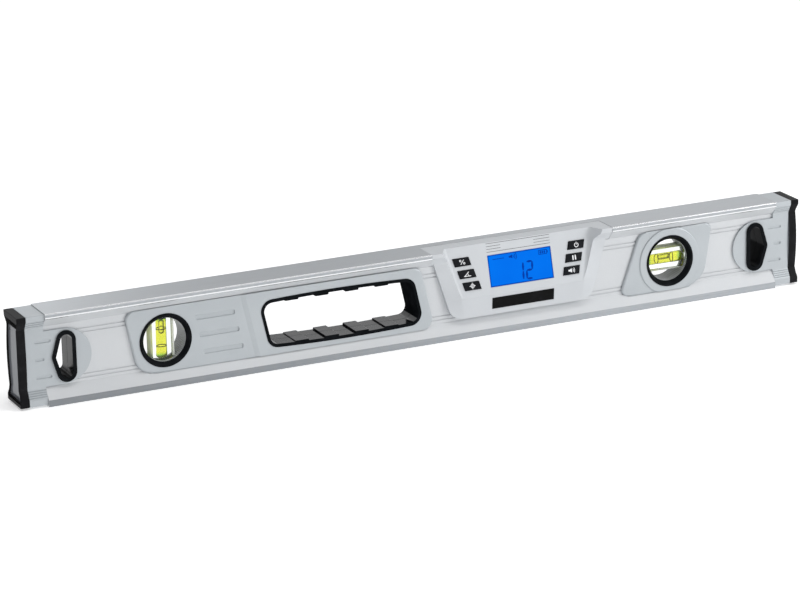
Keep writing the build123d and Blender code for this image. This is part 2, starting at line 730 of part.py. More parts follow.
# Covers, hand-hole liner halves and vial rings, front and back
for face_name, face in (("front", 1), ("back", -1)):
    with BuildPart() as grip_cover:
        with BuildSketch(Plane.XZ.offset(face * WEB_HALF)):
            add(grip_outline)
        extrude(amount=face * COVER_LOW_THICKNESS)
        with BuildSketch(Plane.XZ.offset(face * COVER_LOW_FACE)):
            add(raised_foot)
        with BuildSketch(Plane.XZ.offset(face * COVER_FACE)):
            add(raised_top)
        loft(ruled=True)
        with BuildSketch(Plane.YZ):
            Polygon(*seat_points, align=None)
        extrude(amount=LENGTH / 2, both=True, mode=Mode.SUBTRACT)
        with BuildSketch(Plane.XZ):
            with Locations((PLUMB_X, MID_Z)):
                Circle(BARREL_RADIUS + SEAT_GAP)
            with Locations((GRIP_X, MID_Z)):
                add(grip_cutout)
        extrude(amount=face * REACH, mode=Mode.SUBTRACT)
        with BuildSketch(Plane.XZ.offset(face * COVER_LOW_FACE)):
            with Locations(*[(leaning_edge(BAR_X, MID_Z + row), MID_Z + row) for row in SLOT_ROWS]):
                RectangleRounded(BAR_LENGTH, BAR_HEIGHT, BAR_ROUND)
        extrude(amount=-face * BAR_DEPTH, mode=Mode.SUBTRACT)
        if face > 0:
            with BuildSketch(Plane.XZ.offset(WEB_HALF)):
                with Locations(*grip_posts):
                    Circle(POST_DIAMETER / 2)
            extrude(amount=-WEB_WIDTH)
            with BuildSketch(Plane.XZ.offset(-WEB_HALF)):
                with Locations(*grip_posts):
                    Circle(screw_hole_radius)
            extrude(amount=SCREW_LENGTH, mode=Mode.SUBTRACT)
        else:
            with Locations(*screw_sink(BACK.offset(COVER_LOW_FACE), grip_posts)):
                CounterSinkHole(screw_hole_radius, sink_radius, depth=COVER_THICKNESS)
    pieces[f"grip_cover_{face_name}"] = grip_cover.part

    with BuildPart() as level_cover:
        with BuildSketch(Plane.XZ.offset(face * WEB_HALF)):
            add(level_outline)
        extrude(amount=face * COVER_LOW_THICKNESS)
        with BuildSketch(Plane.XZ.offset(face * WEB_HALF)):
            add(level_boss.sketch)
        extrude(amount=face * COVER_THICKNESS)
        with BuildSketch(Plane.YZ):
            Polygon(*seat_points, align=None)
        extrude(amount=LENGTH / 2, both=True, mode=Mode.SUBTRACT)
        with BuildSketch(Plane.XZ):
            with Locations((LEVEL_X, MID_Z)):
                Circle(BARREL_RADIUS + SEAT_GAP)
        extrude(amount=face * REACH, mode=Mode.SUBTRACT)
        if face > 0:
            with BuildSketch(Plane.XZ.offset(WEB_HALF)):
                with Locations(*level_posts):
                    Circle(POST_DIAMETER / 2)
            extrude(amount=-WEB_WIDTH)
            with BuildSketch(Plane.XZ.offset(-WEB_HALF)):
                with Locations(*level_posts):
                    Circle(screw_hole_radius)
            extrude(amount=SCREW_LENGTH, mode=Mode.SUBTRACT)
        else:
            with Locations(*screw_sink(BACK.offset(COVER_LOW_FACE), level_posts)):
                CounterSinkHole(screw_hole_radius, sink_radius, depth=COVER_THICKNESS)
    pieces[f"level_cover_{face_name}"] = level_cover.part

    with BuildPart() as grip_liner:
        with BuildSketch(Plane.XZ):
            with Locations((GRIP_X, MID_Z)):
                add(grip_barrel)
        extrude(amount=face * COVER_FACE)
        with BuildSketch(Plane.XZ.offset(face * COVER_FACE)):
            with Locations((GRIP_X, MID_Z)):
                add(grip_rim)
        extrude(amount=face * GRIP_PROUD)
        with BuildSketch(Plane.XZ):
            with Locations((GRIP_X, MID_Z)):
                add(grip_opening)
        extrude(amount=face * REACH, mode=Mode.SUBTRACT)
        with BuildSketch(Plane.XZ):
            with Locations((GRIP_X, MID_Z)):
                add(grip_ribs.sketch)
        extrude(amount=face * (COVER_FACE + GRIP_PROUD))
    pieces[f"grip_liner_{face_name}"] = grip_liner.part

    for vial_name, vial_x, ring_seat in (
        ("plumb", PLUMB_X, COVER_LOW_FACE),
        ("level", LEVEL_X, COVER_FACE),
    ):
        with BuildPart() as ring:
            with BuildSketch(Plane.XY.offset(MID_Z)):
                with Locations((vial_x, 0)):
                    Polygon(
                        (CRADLE_BORE_DIAMETER / 2, -face * WEB_HALF),
                        (BARREL_RADIUS, -face * WEB_HALF),
                        (BARREL_RADIUS, -face * ring_seat),
                        (RING_DIAMETER / 2, -face * ring_seat),
                        (RING_DIAMETER / 2, -face * (ring_seat + RING_PROUD)),
                        (RING_MOUTH_DIAMETER / 2, -face * (ring_seat + RING_PROUD)),
                        align=None,
                    )
            revolve(axis=Axis((vial_x, 0, MID_Z), (0, 1, 0)))
        pieces[f"{vial_name}_ring_{face_name}"] = ring.part



def vial_outline(vial_name, gap):
    """Front view of a vial block, its ends rounded to stay inside the cradle's wall."""
    length = VIAL_LENGTH + 2 * gap
    width = VIAL_WIDTH + 2 * gap
    with BuildSketch() as outline:
        if vial_name == "plumb":
            Rectangle(width, length)
        else:
            Rectangle(length, width)
        Circle(BARREL_RADIUS - VIAL_POCKET_WALL + gap, mode=Mode.INTERSECT)
    return outline.sketch


# Vials: the bore is drawn on a plane whose normal is the vial's axis and whose X points at the bubble's side
vial_planes = {
    "plumb": Plane(origin=(PLUMB_X, 0, MID_Z), x_dir=(0, -1, 0), z_dir=(0, 0, 1)),
    "level": Plane(origin=(LEVEL_X, 0, MID_Z), x_dir=(0, 0, 1), z_dir=(-1, 0, 0)),
}
bore_radius = FLUID_DIAMETER / 2
mark_radius = bore_radius - MARK_GAP
fluid_radius = mark_radius - MARK_THICKNESS - MARK_GAP
fluid_low = VIAL_END - VIAL_LENGTH / 2
fluid_high = VIAL_LENGTH / 2 - VIAL_PLUG_LENGTH
channel_radius = BUBBLE_DIAMETER / 2 + BUBBLE_GAP
channel_half = BUBBLE_LENGTH / 2 + BUBBLE_TRAVEL + BUBBLE_GAP
for vial_name, plane in vial_planes.items():
    for face_name, face in (("front", 1), ("back", -1)):
        with BuildPart() as cradle:
            with BuildSketch(Plane.XZ):
                with Locations((plane.origin.X, MID_Z)):
                    Circle(BARREL_RADIUS)
                    Circle(CRADLE_BORE_DIAMETER / 2, mode=Mode.SUBTRACT)
            extrude(amount=face * WEB_HALF)
            with BuildSketch(Plane.XZ):
                with Locations((plane.origin.X, MID_Z)):
                    add(vial_outline(vial_name, ROUND_GAP))
            extrude(amount=VIAL_DEPTH / 2 + ROUND_GAP, both=True, mode=Mode.SUBTRACT)
        pieces[f"{vial_name}_cradle_{face_name}"] = cradle.part

    with BuildPart() as vial:
        with BuildSketch(Plane.XZ):
            with Locations((plane.origin.X, MID_Z)):
                add(vial_outline(vial_name, 0))
        extrude(amount=VIAL_DEPTH / 2, both=True)
        with BuildSketch(plane.offset(fluid_low)):
            Circle(bore_radius)
        extrude(amount=VIAL_LENGTH, mode=Mode.SUBTRACT)
    pieces[f"{vial_name}_vial"] = vial.part

    with BuildPart() as vial_plug:
        with BuildSketch(plane.offset(fluid_high)):
            Circle(mark_radius)
        extrude(amount=VIAL_PLUG_LENGTH)
    pieces[f"{vial_name}_plug"] = vial_plug.part

    with BuildPart() as fluid:
        with BuildSketch(plane.offset(fluid_low)):
            Circle(fluid_radius)
        extrude(amount=fluid_high - fluid_low)
        with BuildSketch(plane.offset(-channel_half)):
            with Locations((BUBBLE_RAISE, 0)):
                Circle(channel_radius)
            with Locations((BUBBLE_RAISE + FLUID_DIAMETER / 2, 0)):
                Rectangle(FLUID_DIAMETER, 2 * channel_radius)
        extrude(amount=2 * channel_half, mode=Mode.SUBTRACT)
    pieces[f"{vial_name}_fluid"] = fluid.part

    bubble_at = BUBBLE_TRAVEL if vial_name == "plumb" else 0
    with BuildPart() as bubble:
        with BuildSketch(plane.offset(bubble_at - BUBBLE_LENGTH / 2)):
            with Locations((BUBBLE_RAISE, 0)):
                Circle(BUBBLE_DIAMETER / 2)
        extrude(amount=BUBBLE_LENGTH)
        fillet(bubble.edges().filter_by(GeomType.CIRCLE), radius=BUBBLE_DIAMETER / 2 - BUBBLE_GAP)
    pieces[f"{vial_name}_bubble"] = bubble.part

    with BuildPart() as marks:
        for end in (-1, 1):
            with BuildSketch(plane.offset(end * MARK_SPREAD - MARK_WIDTH / 2)):
                Circle(mark_radius)
                Circle(mark_radius - MARK_THICKNESS, mode=Mode.SUBTRACT)
            extrude(amount=MARK_WIDTH)
    pieces[f"{vial_name}_marks"] = marks.part

# Display housing: side slopes lofted through three heights and trimmed, a saddle, then the panel cut in
with BuildPart() as housing_cavity:
    with BuildSketch(Plane.XZ):
        floor_z = MODULE_BASE + PANEL_WALL
        with Locations((MODULE_X, 0)):
            Polygon(
                *symmetric([(cavity_half(saddle_under), saddle_under), (cavity_half(floor_z), floor_z)]),
                align=None,
            )
    extrude(amount=REACH, both=True)
    for skin in (panel, lower):
        with BuildSketch(skin.offset(-PANEL_WALL)):
            Rectangle(2 * SADDLE_LENGTH, 2 * SADDLE_LENGTH)
        extrude(amount=2 * REACH, mode=Mode.SUBTRACT)

with BuildPart() as display_housing:
    for z, edge_y, face_half, face_y in (
        (MODULE_BASE, -MODULE_BASE_EDGE, MODULE_BASE_FACE / 2, base_face_y),
        (fold_z, -MODULE_FOLD_EDGE, panel_half(PANEL_HEIGHT), fold_y),
        (shoulder_z, -MODULE_SHOULDER_EDGE, MODULE_SHOULDER_FACE / 2, -MODULE_SHOULDER_OUT),
    ):
        edge_half = module_half(z)
        slope = (edge_y - face_y) / (edge_half - face_half)
        trim_half = edge_half + MODULE_TRIM
        trim_y = edge_y + slope * MODULE_TRIM
        with BuildSketch(Plane.XY.offset(z)):
            with Locations((MODULE_X, 0)):
                Polygon(
                    *symmetric([(trim_half, -WEB_HALF), (trim_half, trim_y), (face_half, face_y)]),
                    align=None,
                )
    loft(ruled=True)
    with BuildSketch(Plane.XZ) as module_outline:
        with Locations((MODULE_X, 0)):
            Polygon(
                *symmetric([(module_half(z), z) for z in (shoulder_z, MODULE_BASE)]),
                align=None,
            )
        fillet(module_outline.vertices().sort_by(Axis.Y)[:2], radius=MODULE_CORNER)
    extrude(amount=REACH, mode=Mode.INTERSECT)
    side_edges = display_housing.edges().filter_by_position(
        Axis.Z, MODULE_BASE + MODULE_TRIM, fold_z - MODULE_TRIM
    )
    fillet(side_edges.sort_by(Axis.Y)[:2], radius=FLANK_ROUND)
    with BuildSketch(Plane.YZ.offset(MODULE_X)):
        Polygon(
            (SADDLE_DROP - FLANGE_HALF, saddle_top),
            (SADDLE_DROP - FLANGE_HALF, BEAM_HEIGHT - TOP_LIP),
            (-WEB_HALF, WEB_HIGH + SEAT_GAP),
            (WALL - WEB_HALF, WEB_HIGH + SEAT_GAP),
            (WALL - WEB_HALF, saddle_under),
            (SADDLE_BACK - SEAT_GAP, saddle_under),
            (SADDLE_BACK - SEAT_GAP, saddle_top),
            align=None,
        )
    extrude(amount=SADDLE_LENGTH / 2 - SEAT_GAP, both=True)
    valley_edges = [
        edge
        for edge in display_housing.edges(Select.NEW)
        if edge.bounding_box().max.Y < -WEB_HALF - SEAT_GAP and edge.bounding_box().max.Z < shoulder_z
    ]
    fillet(valley_edges, radius=VALLEY_ROUND)
    with BuildSketch(Plane.XZ.offset(WEB_HALF)):
        with Locations((MODULE_X, 0)):
            Polygon(*skirt_points(0), align=None)
    extrude(amount=-SKIRT_DEPTH)
    with BuildPart(mode=Mode.SUBTRACT) as panel_space:
        for out, grow in ((0, 0), (REACH, REACH * tan(radians(PANEL_DRAFT)))):
            with BuildSketch(panel.offset(out)):
                above = PANEL_HEIGHT + grow
                below = 2 * PANEL_HEIGHT + grow
                Polygon(
                    *symmetric([(panel_half(-above) + grow, above), (panel_half(below) + grow, -below)]),
                    align=None,
                )
        loft(ruled=True)
        floor = panel_space.faces().sort_by(Axis(panel.origin, panel.z_dir))[0]
        fillet(floor.edges().sort_by(Axis.X)[::3], radius=PANEL_ROUND)
    add(housing_cavity.part, mode=Mode.SUBTRACT)
    with BuildSketch(panel.offset(-BOARD_FRONT)):
        with Locations(*board_posts):
            Circle(BOARD_POST_DIAMETER / 2)
    extrude(amount=BOARD_FRONT - PANEL_WALL / 2)
    with BuildSketch(panel.offset(-BOARD_FRONT)):
        with Locations(*board_posts):
            Circle(BOARD_SCREW_DIAMETER / 2 + ROUND_GAP)
    extrude(amount=BOARD_SCREW_LENGTH - BOARD_THICKNESS, mode=Mode.SUBTRACT)
    with BuildSketch(panel):
        with Locations((0, -WINDOW_DOWN)):
            Rectangle(WINDOW_WIDTH + 2 * SEAT_GAP, WINDOW_HEIGHT + 2 * SEAT_GAP)
    extrude(amount=-WINDOW_THICKNESS, mode=Mode.SUBTRACT)
    with BuildSketch(panel):
        with Locations((0, -WINDOW_DOWN)):
            Rectangle(WINDOW_WIDTH - 2 * WINDOW_LEDGE, WINDOW_HEIGHT - 2 * WINDOW_LEDGE)
        for _, side, row in key_names:
            Polygon(*key_points(side, row, KEY_GAP), align=None)
    extrude(amount=-2 * PANEL_WALL, mode=Mode.SUBTRACT)
    with BuildSketch(lower):
        with Locations((0, -PLATE_DOWN)):
            Rectangle(PLATE_WIDTH + 2 * SEAT_GAP, PLATE_HEIGHT + 2 * SEAT_GAP)
    extrude(amount=-PLATE_SINK, mode=Mode.SUBTRACT)
    with BuildSketch(Plane.XZ.offset(WEB_HALF)):
        with Locations(*module_posts):
            Circle(POST_DIAMETER / 2)
    extrude(amount=-WEB_WIDTH)
    with BuildSketch(Plane.XZ.offset(-WEB_HALF)):
        with Locations(*module_posts):
            Circle(screw_hole_radius)
    extrude(amount=SCREW_LENGTH, mode=Mode.SUBTRACT)
pieces["display_housing"] = display_housing.part

with BuildPart() as display_window:
    with BuildSketch(panel):
        with Locations((0, -WINDOW_DOWN)):
            Rectangle(WINDOW_WIDTH, WINDOW_HEIGHT)
    extrude(amount=-WINDOW_THICKNESS)
pieces["display_window"] = display_window.part

with BuildPart() as lcd_cell:
    with BuildSketch(panel.offset(-PANEL_WALL)):
        with Locations((0, -WINDOW_DOWN)):
            Rectangle(LCD_WIDTH, LCD_HEIGHT)
    extrude(amount=-LCD_THICKNESS)
pieces["lcd_cell"] = lcd_cell.part

with BuildPart() as backlight:
    with BuildSketch(panel.offset(-PANEL_WALL - LCD_THICKNESS)):
        with Locations((0, -WINDOW_DOWN)):
            Rectangle(LCD_WIDTH, LCD_HEIGHT)
    extrude(amount=-BACKLIGHT_THICKNESS)
pieces["backlight"] = backlight.part

with BuildPart() as circuit_board:
    with BuildSketch(panel.offset(-BOARD_FRONT)):
        board_low = BOARD_TOP + BOARD_HEIGHT
        Polygon(
            *symmetric(
                [
                    (panel_half(BOARD_TOP) - PANEL_WALL - BOARD_GAP, -BOARD_TOP),
                    (panel_half(board_low) - PANEL_WALL - BOARD_GAP, -board_low),
                ]
            ),
            align=None,
        )
        with Locations(*board_posts):
            Circle(BOARD_SCREW_DIAMETER / 2 + ROUND_GAP, mode=Mode.SUBTRACT)
    extrude(amount=-BOARD_THICKNESS)
pieces["circuit_board"] = circuit_board.part

with BuildPart() as board_screws:
    with BuildSketch(panel.offset(-BOARD_BACK)):
        with Locations(*board_posts):
            Circle(BOARD_SCREW_HEAD / 2)
    extrude(amount=-BOARD_SCREW_HEAD_HEIGHT)
    with BuildSketch(panel.offset(-BOARD_BACK)):
        with Locations(*board_posts):
            Circle(BOARD_SCREW_DIAMETER / 2)
    extrude(amount=BOARD_SCREW_LENGTH - ROUND_GAP)
pieces["board_screws"] = board_screws.part

with BuildPart() as key_switches:
    switch_depth = PANEL_WALL + KEY_FLANGE_GAP + KEY_FLANGE_THICKNESS + KEY_TRAVEL + SWITCH_GAP
    with BuildSketch(panel.offset(-BOARD_FRONT)):
        for _, side, row in key_names:
            with Locations((side * (KEY_U - KEY_ROW_STEP * row), -(KEY_DOWN + KEY_ROW_PITCH * row))):
                Rectangle(SWITCH_SIZE, SWITCH_SIZE)
    extrude(amount=BOARD_FRONT - switch_depth)
pieces["key_switches"] = key_switches.part

for key_name, side, row in key_names:
    with BuildPart() as key:
        with BuildSketch(panel.offset(KEY_PROUD)):
            Polygon(*key_points(side, row, 0), align=None)
        extrude(amount=-(KEY_PROUD + PANEL_WALL + KEY_FLANGE_GAP))
        fillet(key.faces().sort_by(Axis.Y)[0].edges(), radius=KEY_ROUND)
        with BuildSketch(panel.offset(-PANEL_WALL - KEY_FLANGE_GAP)):
            Polygon(*key_points(side, row, KEY_GAP + KEY_FLANGE), align=None)
        extrude(amount=-KEY_FLANGE_THICKNESS)
    pieces[key_name] = key.part

with BuildPart() as tilt_sensor:
    with BuildSketch(panel.offset(-BOARD_BACK)):
        with Locations((SENSOR_U, -SENSOR_DOWN)):
            Rectangle(SENSOR_SIZE, SENSOR_SIZE)
    extrude(amount=-SENSOR_HEIGHT)
pieces["tilt_sensor"] = tilt_sensor.part

with BuildPart() as buzzer:
    with BuildSketch(panel.offset(-BOARD_BACK)):
        with Locations((BUZZER_U, -SENSOR_DOWN)):
            Circle(BUZZER_DIAMETER / 2)
    extrude(amount=-BUZZER_HEIGHT)
pieces["buzzer"] = buzzer.part

with BuildPart() as front_plate:
    with BuildSketch(lower.offset(-PLATE_SINK)):
        with Locations((0, -PLATE_DOWN)):
            Rectangle(PLATE_WIDTH, PLATE_HEIGHT)
    extrude(amount=PLATE_THICKNESS)
pieces["front_plate"] = front_plate.part

# Rear housing with the battery tray, its door on a pin, the cells and their contacts
TRAY_TOP = TRAY_Z + TRAY_HEIGHT / 2
TRAY_BASE = TRAY_Z - TRAY_HEIGHT / 2
DOOR_TOP = TRAY_TOP + DOOR_OVERLAP
HINGE_Y = REAR_FACE - HINGE_DIAMETER / 2
HINGE_Z = TRAY_BASE - HINGE_DROP
hinge_plane = Plane.YZ.offset(MODULE_X)
rear_corners = [
    (MODULE_X + side * width / 2, z, REAR_ROUND)
    for side, width, z in (
        (-1, REAR_TOP_WIDTH, COVER_TOP),
        (1, REAR_TOP_WIDTH, COVER_TOP),
        (1, REAR_LOW_WIDTH, COVER_BASE_RISE),
        (-1, REAR_LOW_WIDTH, COVER_BASE_RISE),
    )
]
rear_outline = rounded_outline(rear_corners)
with BuildPart() as rear_housing:
    with BuildSketch(Plane.XZ.offset(-WEB_HALF)):
        add(rear_outline)
    extrude(amount=-REAR_THICKNESS)
    with BuildSketch(Plane.YZ):
        Polygon(*seat_points, align=None)
    extrude(amount=LENGTH / 2, both=True, mode=Mode.SUBTRACT)
    with BuildSketch(Plane.XZ.offset(TRAY_WALL - TRAY_FLOOR)):
        with Locations((MODULE_X, TRAY_Z)):
            Rectangle(TRAY_LENGTH + 2 * TRAY_WALL, TRAY_HEIGHT + 2 * TRAY_WALL)
    extrude(amount=TRAY_FLOOR - TRAY_WALL - WEB_HALF)
    with BuildSketch(Plane.XZ.offset(-TRAY_FLOOR)):
        with Locations((MODULE_X, TRAY_Z)):
            Rectangle(TRAY_LENGTH, TRAY_HEIGHT)
    extrude(amount=-REACH, mode=Mode.SUBTRACT)
    recess_low = HINGE_Z - HINGE_DIAMETER / 2 - SEAT_GAP
    with BuildSketch(Plane.XZ.offset(DOOR_GAP - DOOR_INNER)):
        with Locations((MODULE_X, (recess_low + DOOR_TOP + SEAT_GAP) / 2)):
            Rectangle(DOOR_LENGTH + 2 * SEAT_GAP, DOOR_TOP + SEAT_GAP - recess_low)
    extrude(amount=-REACH, mode=Mode.SUBTRACT)
    with BuildSketch(Plane.XZ.offset(HINGE_DIAMETER / 2 + SEAT_GAP - HINGE_Y)):
        with Locations((MODULE_X, HINGE_Z)):
            Rectangle(DOOR_LENGTH + 2 * SEAT_GAP, HINGE_DIAMETER + 2 * SEAT_GAP)
    extrude(amount=-REACH, mode=Mode.SUBTRACT)
    with BuildSketch(hinge_plane):
        with Locations((HINGE_Y, HINGE_Z)):
            Circle(PIN_DIAMETER / 2 + PIN_GAP)
    extrude(amount=DOOR_LENGTH / 2 + SEAT_GAP + PIN_HOLD, both=True, mode=Mode.SUBTRACT)
    with Locations(*screw_sink(BACK.offset(REAR_FACE), module_posts)):
        CounterSinkHole(screw_hole_radius, sink_radius, depth=REAR_THICKNESS)
pieces["rear_housing"] = rear_housing.part

with BuildPart() as battery_door:
    with BuildSketch(Plane.XZ.offset(-DOOR_INNER)):
        with Locations((MODULE_X, (HINGE_Z + DOOR_TOP) / 2)):
            Rectangle(DOOR_LENGTH, DOOR_TOP - HINGE_Z)
    extrude(amount=-DOOR_THICKNESS)
    with BuildSketch(hinge_plane):
        with Locations((HINGE_Y, HINGE_Z)):
            Circle(HINGE_DIAMETER / 2)
    extrude(amount=DOOR_LENGTH / 2, both=True)
    with BuildSketch(hinge_plane):
        with Locations((HINGE_Y, HINGE_Z)):
            Circle(PIN_DIAMETER / 2 + PIN_GAP)
    extrude(amount=DOOR_LENGTH / 2, both=True, mode=Mode.SUBTRACT)
    with BuildSketch(Plane.XZ.offset(-REAR_FACE)):
        with Locations((MODULE_X, DOOR_TOP - THUMB_RIDGES * THUMB_PITCH)):
            with GridLocations(0, THUMB_PITCH, 1, THUMB_RIDGES):
                SlotOverall(THUMB_WIDTH, THUMB_HEIGHT)
    extrude(amount=-THUMB_PROUD)
pieces["battery_door"] = battery_door.part

with BuildPart() as door_pin:
    with BuildSketch(hinge_plane):
        with Locations((HINGE_Y, HINGE_Z)):
            Circle(PIN_DIAMETER / 2)
    extrude(amount=DOOR_LENGTH / 2 + PIN_HOLD, both=True)
pieces["door_pin"] = door_pin.part

cell_rows = ((TRAY_Z - CELL_PITCH / 2, -1), (TRAY_Z + CELL_PITCH / 2, 1))
with BuildPart() as battery_cells:
    for cell_z, nub_side in cell_rows:
        with BuildSketch(hinge_plane.offset(-nub_side * CELL_NUB_LENGTH / 2)):
            with Locations((CELL_Y, cell_z)):
                Circle(CELL_DIAMETER / 2)
        extrude(amount=CELL_LENGTH / 2, both=True)
        with BuildSketch(hinge_plane.offset(nub_side * (CELL_LENGTH - CELL_NUB_LENGTH) / 2)):
            with Locations((CELL_Y, cell_z)):
                Circle(CELL_NUB_DIAMETER / 2)
        extrude(amount=nub_side * CELL_NUB_LENGTH)
pieces["battery_cells"] = battery_cells.part

with BuildPart() as battery_contacts:
    for end in (-1, 1):
        tray_end = hinge_plane.offset(end * TRAY_LENGTH / 2)
        with BuildSketch(tray_end):
            with Locations(*[(CELL_Y, cell_z) for cell_z, _ in cell_rows]):
                Rectangle(CONTACT_SIZE, CONTACT_SIZE)
        extrude(amount=-end * CONTACT_THICKNESS)
        for cell_z, _ in cell_rows:
            for inward, diameter in (
                (CONTACT_THICKNESS, CONTACT_ROOT_DIAMETER),
                (CONTACT_THICKNESS + CONTACT_HEIGHT, CONTACT_TIP_DIAMETER),
            ):
                with BuildSketch(tray_end.offset(-end * inward)):
                    with Locations((CELL_Y, cell_z)):
                        Circle(diameter / 2)
            loft()
pieces["battery_contacts"] = battery_contacts.part

# Screws: countersunk heads at the back, shanks into the front posts
with BuildPart() as case_screws:
    screw_places = (
        screw_sink(BACK.offset(COVER_LOW_FACE), grip_posts + level_posts)
        + screw_sink(BACK.offset(REAR_FACE), module_posts)
    )
    with Locations(*screw_places):
        Cone(
            SCREW_DIAMETER / 2,
            SCREW_HEAD_DIAMETER / 2,
            SCREW_HEAD_HEIGHT,
            align=(Align.CENTER, Align.CENTER, Align.MAX),
        )
        Cylinder(
            SCREW_DIAMETER / 2,
            SCREW_LENGTH - ROUND_GAP,
            align=(Align.CENTER, Align.CENTER, Align.MAX),
        )
        Box(
            SCREW_DIAMETER,
            DRIVE_WIDTH,
            2 * DRIVE_DEPTH,
            mode=Mode.SUBTRACT,
        )
        Box(
            DRIVE_WIDTH,
            SCREW_DIAMETER,
            2 * DRIVE_DEPTH,
            mode=Mode.SUBTRACT,
        )
pieces["case_screws"] = case_screws.part

for name, part in pieces.items():
    part.label = name
    export_step(part, f"parts/{name}.step")
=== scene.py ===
# %% [markdown]
# A digital spirit level: an aluminium I-beam, 600 mm long, with rubber end caps, a hand hole, two vials
# and a lit display. The beam, covers and housings were drawn as solids, and this lesson dresses them:
# it rounds their edges, gives each finish its grain and gloss, fills the vials, and prints the display.

# %% Load the solids
import json
import math

import bpy
from mathutils import Matrix, Vector
from mathutils.bvhtree import BVHTree

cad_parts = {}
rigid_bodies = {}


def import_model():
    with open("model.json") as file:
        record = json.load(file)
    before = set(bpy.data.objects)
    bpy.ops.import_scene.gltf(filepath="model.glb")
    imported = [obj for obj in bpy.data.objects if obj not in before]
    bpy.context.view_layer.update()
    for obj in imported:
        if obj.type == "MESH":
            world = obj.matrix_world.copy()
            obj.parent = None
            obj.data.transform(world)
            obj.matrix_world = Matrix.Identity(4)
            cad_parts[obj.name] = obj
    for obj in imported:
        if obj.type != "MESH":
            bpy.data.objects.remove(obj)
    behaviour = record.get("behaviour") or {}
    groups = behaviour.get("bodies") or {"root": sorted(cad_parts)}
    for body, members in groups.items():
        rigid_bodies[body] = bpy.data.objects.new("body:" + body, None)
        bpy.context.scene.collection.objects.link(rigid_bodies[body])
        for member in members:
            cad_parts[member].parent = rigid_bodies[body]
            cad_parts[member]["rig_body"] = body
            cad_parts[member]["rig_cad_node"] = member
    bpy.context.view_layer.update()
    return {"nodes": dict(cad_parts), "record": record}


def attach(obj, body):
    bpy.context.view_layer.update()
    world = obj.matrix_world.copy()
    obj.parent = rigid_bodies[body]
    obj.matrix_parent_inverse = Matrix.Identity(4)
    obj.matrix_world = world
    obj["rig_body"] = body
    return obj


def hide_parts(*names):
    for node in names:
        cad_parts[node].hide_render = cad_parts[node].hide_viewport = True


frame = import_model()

MM = 0.001
slot_of = {row["node"]: row["material_slot"] for row in frame["record"]["subparts"]}

# %% [markdown]
# The camera stands where the photographer stood: in front of the level, to its left, and a little above.
# It could be aimed with a Track To constraint, but a real camera is rarely held quite upright. So its
# turn is put together from three plain turns: round to the right, down, and a small roll.

# %% Camera
CAMERA_AT = (-1.03398, -2.1787, 0.77541)
LOOK_RIGHT = math.radians(25.07)
LOOK_DOWN = math.radians(17.194)
ROLL = math.radians(-1.123)
LENS = 162.8
SENSOR_WIDTH = 36.0

aim = (
    Matrix.Rotation(-LOOK_RIGHT, 4, "Z")
    @ Matrix.Rotation(math.pi / 2 - LOOK_DOWN, 4, "X")
    @ Matrix.Rotation(ROLL, 4, "Z")
)
bpy.ops.object.camera_add(location=CAMERA_AT, rotation=aim.to_euler())
camera = bpy.context.object
camera.data.lens = LENS
camera.data.sensor_width = SENSOR_WIDTH
bpy.context.scene.camera = camera
print("camera is", round(camera.location.length, 2), "m from the middle of the base")

# %% [markdown]
# A product studio is a pale sweep of floor under big soft lamps. A flat floor would end in a visible line,
# so a plane is added and all four of its edges are drawn outwards and up, which hides its end from any
# side. The floor lies a hair below the base, so that the two faces do not fight over the same place.

# %% Floor
FLOOR_SIZE = 9.0
FLOOR_DROP = 0.2 * MM
SWEEP_RISE = 1.2
SWEEP_SPREAD = 1.5

bpy.ops.object.select_all(action="DESELECT")
bpy.ops.mesh.primitive_plane_add(size=FLOOR_SIZE, location=(0, 0, -FLOOR_DROP))
floor = bpy.context.object
floor.name = "studio_floor"
bpy.ops.object.mode_set(mode="EDIT")
bpy.ops.mesh.select_mode(type="EDGE")
bpy.ops.mesh.select_all(action="SELECT")
bpy.ops.mesh.extrude_edges_move(TRANSFORM_OT_translate={"value": (0, 0, SWEEP_RISE)})
bpy.ops.transform.resize(value=(SWEEP_SPREAD, SWEEP_SPREAD, 1.0))
bpy.ops.object.mode_set(mode="OBJECT")
bpy.ops.object.transform_apply(location=True, rotation=True, scale=True)
print("floor:", len(floor.data.polygons), "faces")

# %% [markdown]
# The light is a white room: the world lights everything evenly. A lamp box in front and to the right rakes
# along the beam, so that low steps and bars show, and makes the right end brighter. A strip box overhead
# draws the bright line along the milled edges, and three boxes behind light the top faces. The plain
# Standard view keeps white as white, where a film-like view would turn it grey.

# %% Light
ROOM_COLOUR = (0.97, 0.98, 1.0, 1.0)
ROOM_STRENGTH = 0.36
LAMPS = {  # the place of each lamp, the point that it faces, its width and height, and its power
    "right_lamp": ((1.9, -1.4, 0.9), (0, 0, 0.03), 1.2, 1.2, 30),
    "strip_lamp": ((0.0, -0.35, 1.5), (0, 0, 0), 2.4, 0.5, 9),
    "top_lamp": ((0.0, 1.6, 1.6), (0, 0, 0), 2.4, 2.4, 8),
    "back_lamp": ((1.9, 2.2, 1.0), (0.3, 0, 0), 1.4, 1.4, 4),
    "left_end_lamp": ((0.45, 2.85, 1.0), (-0.3, 0, 0), 0.6, 0.9, 2),
}

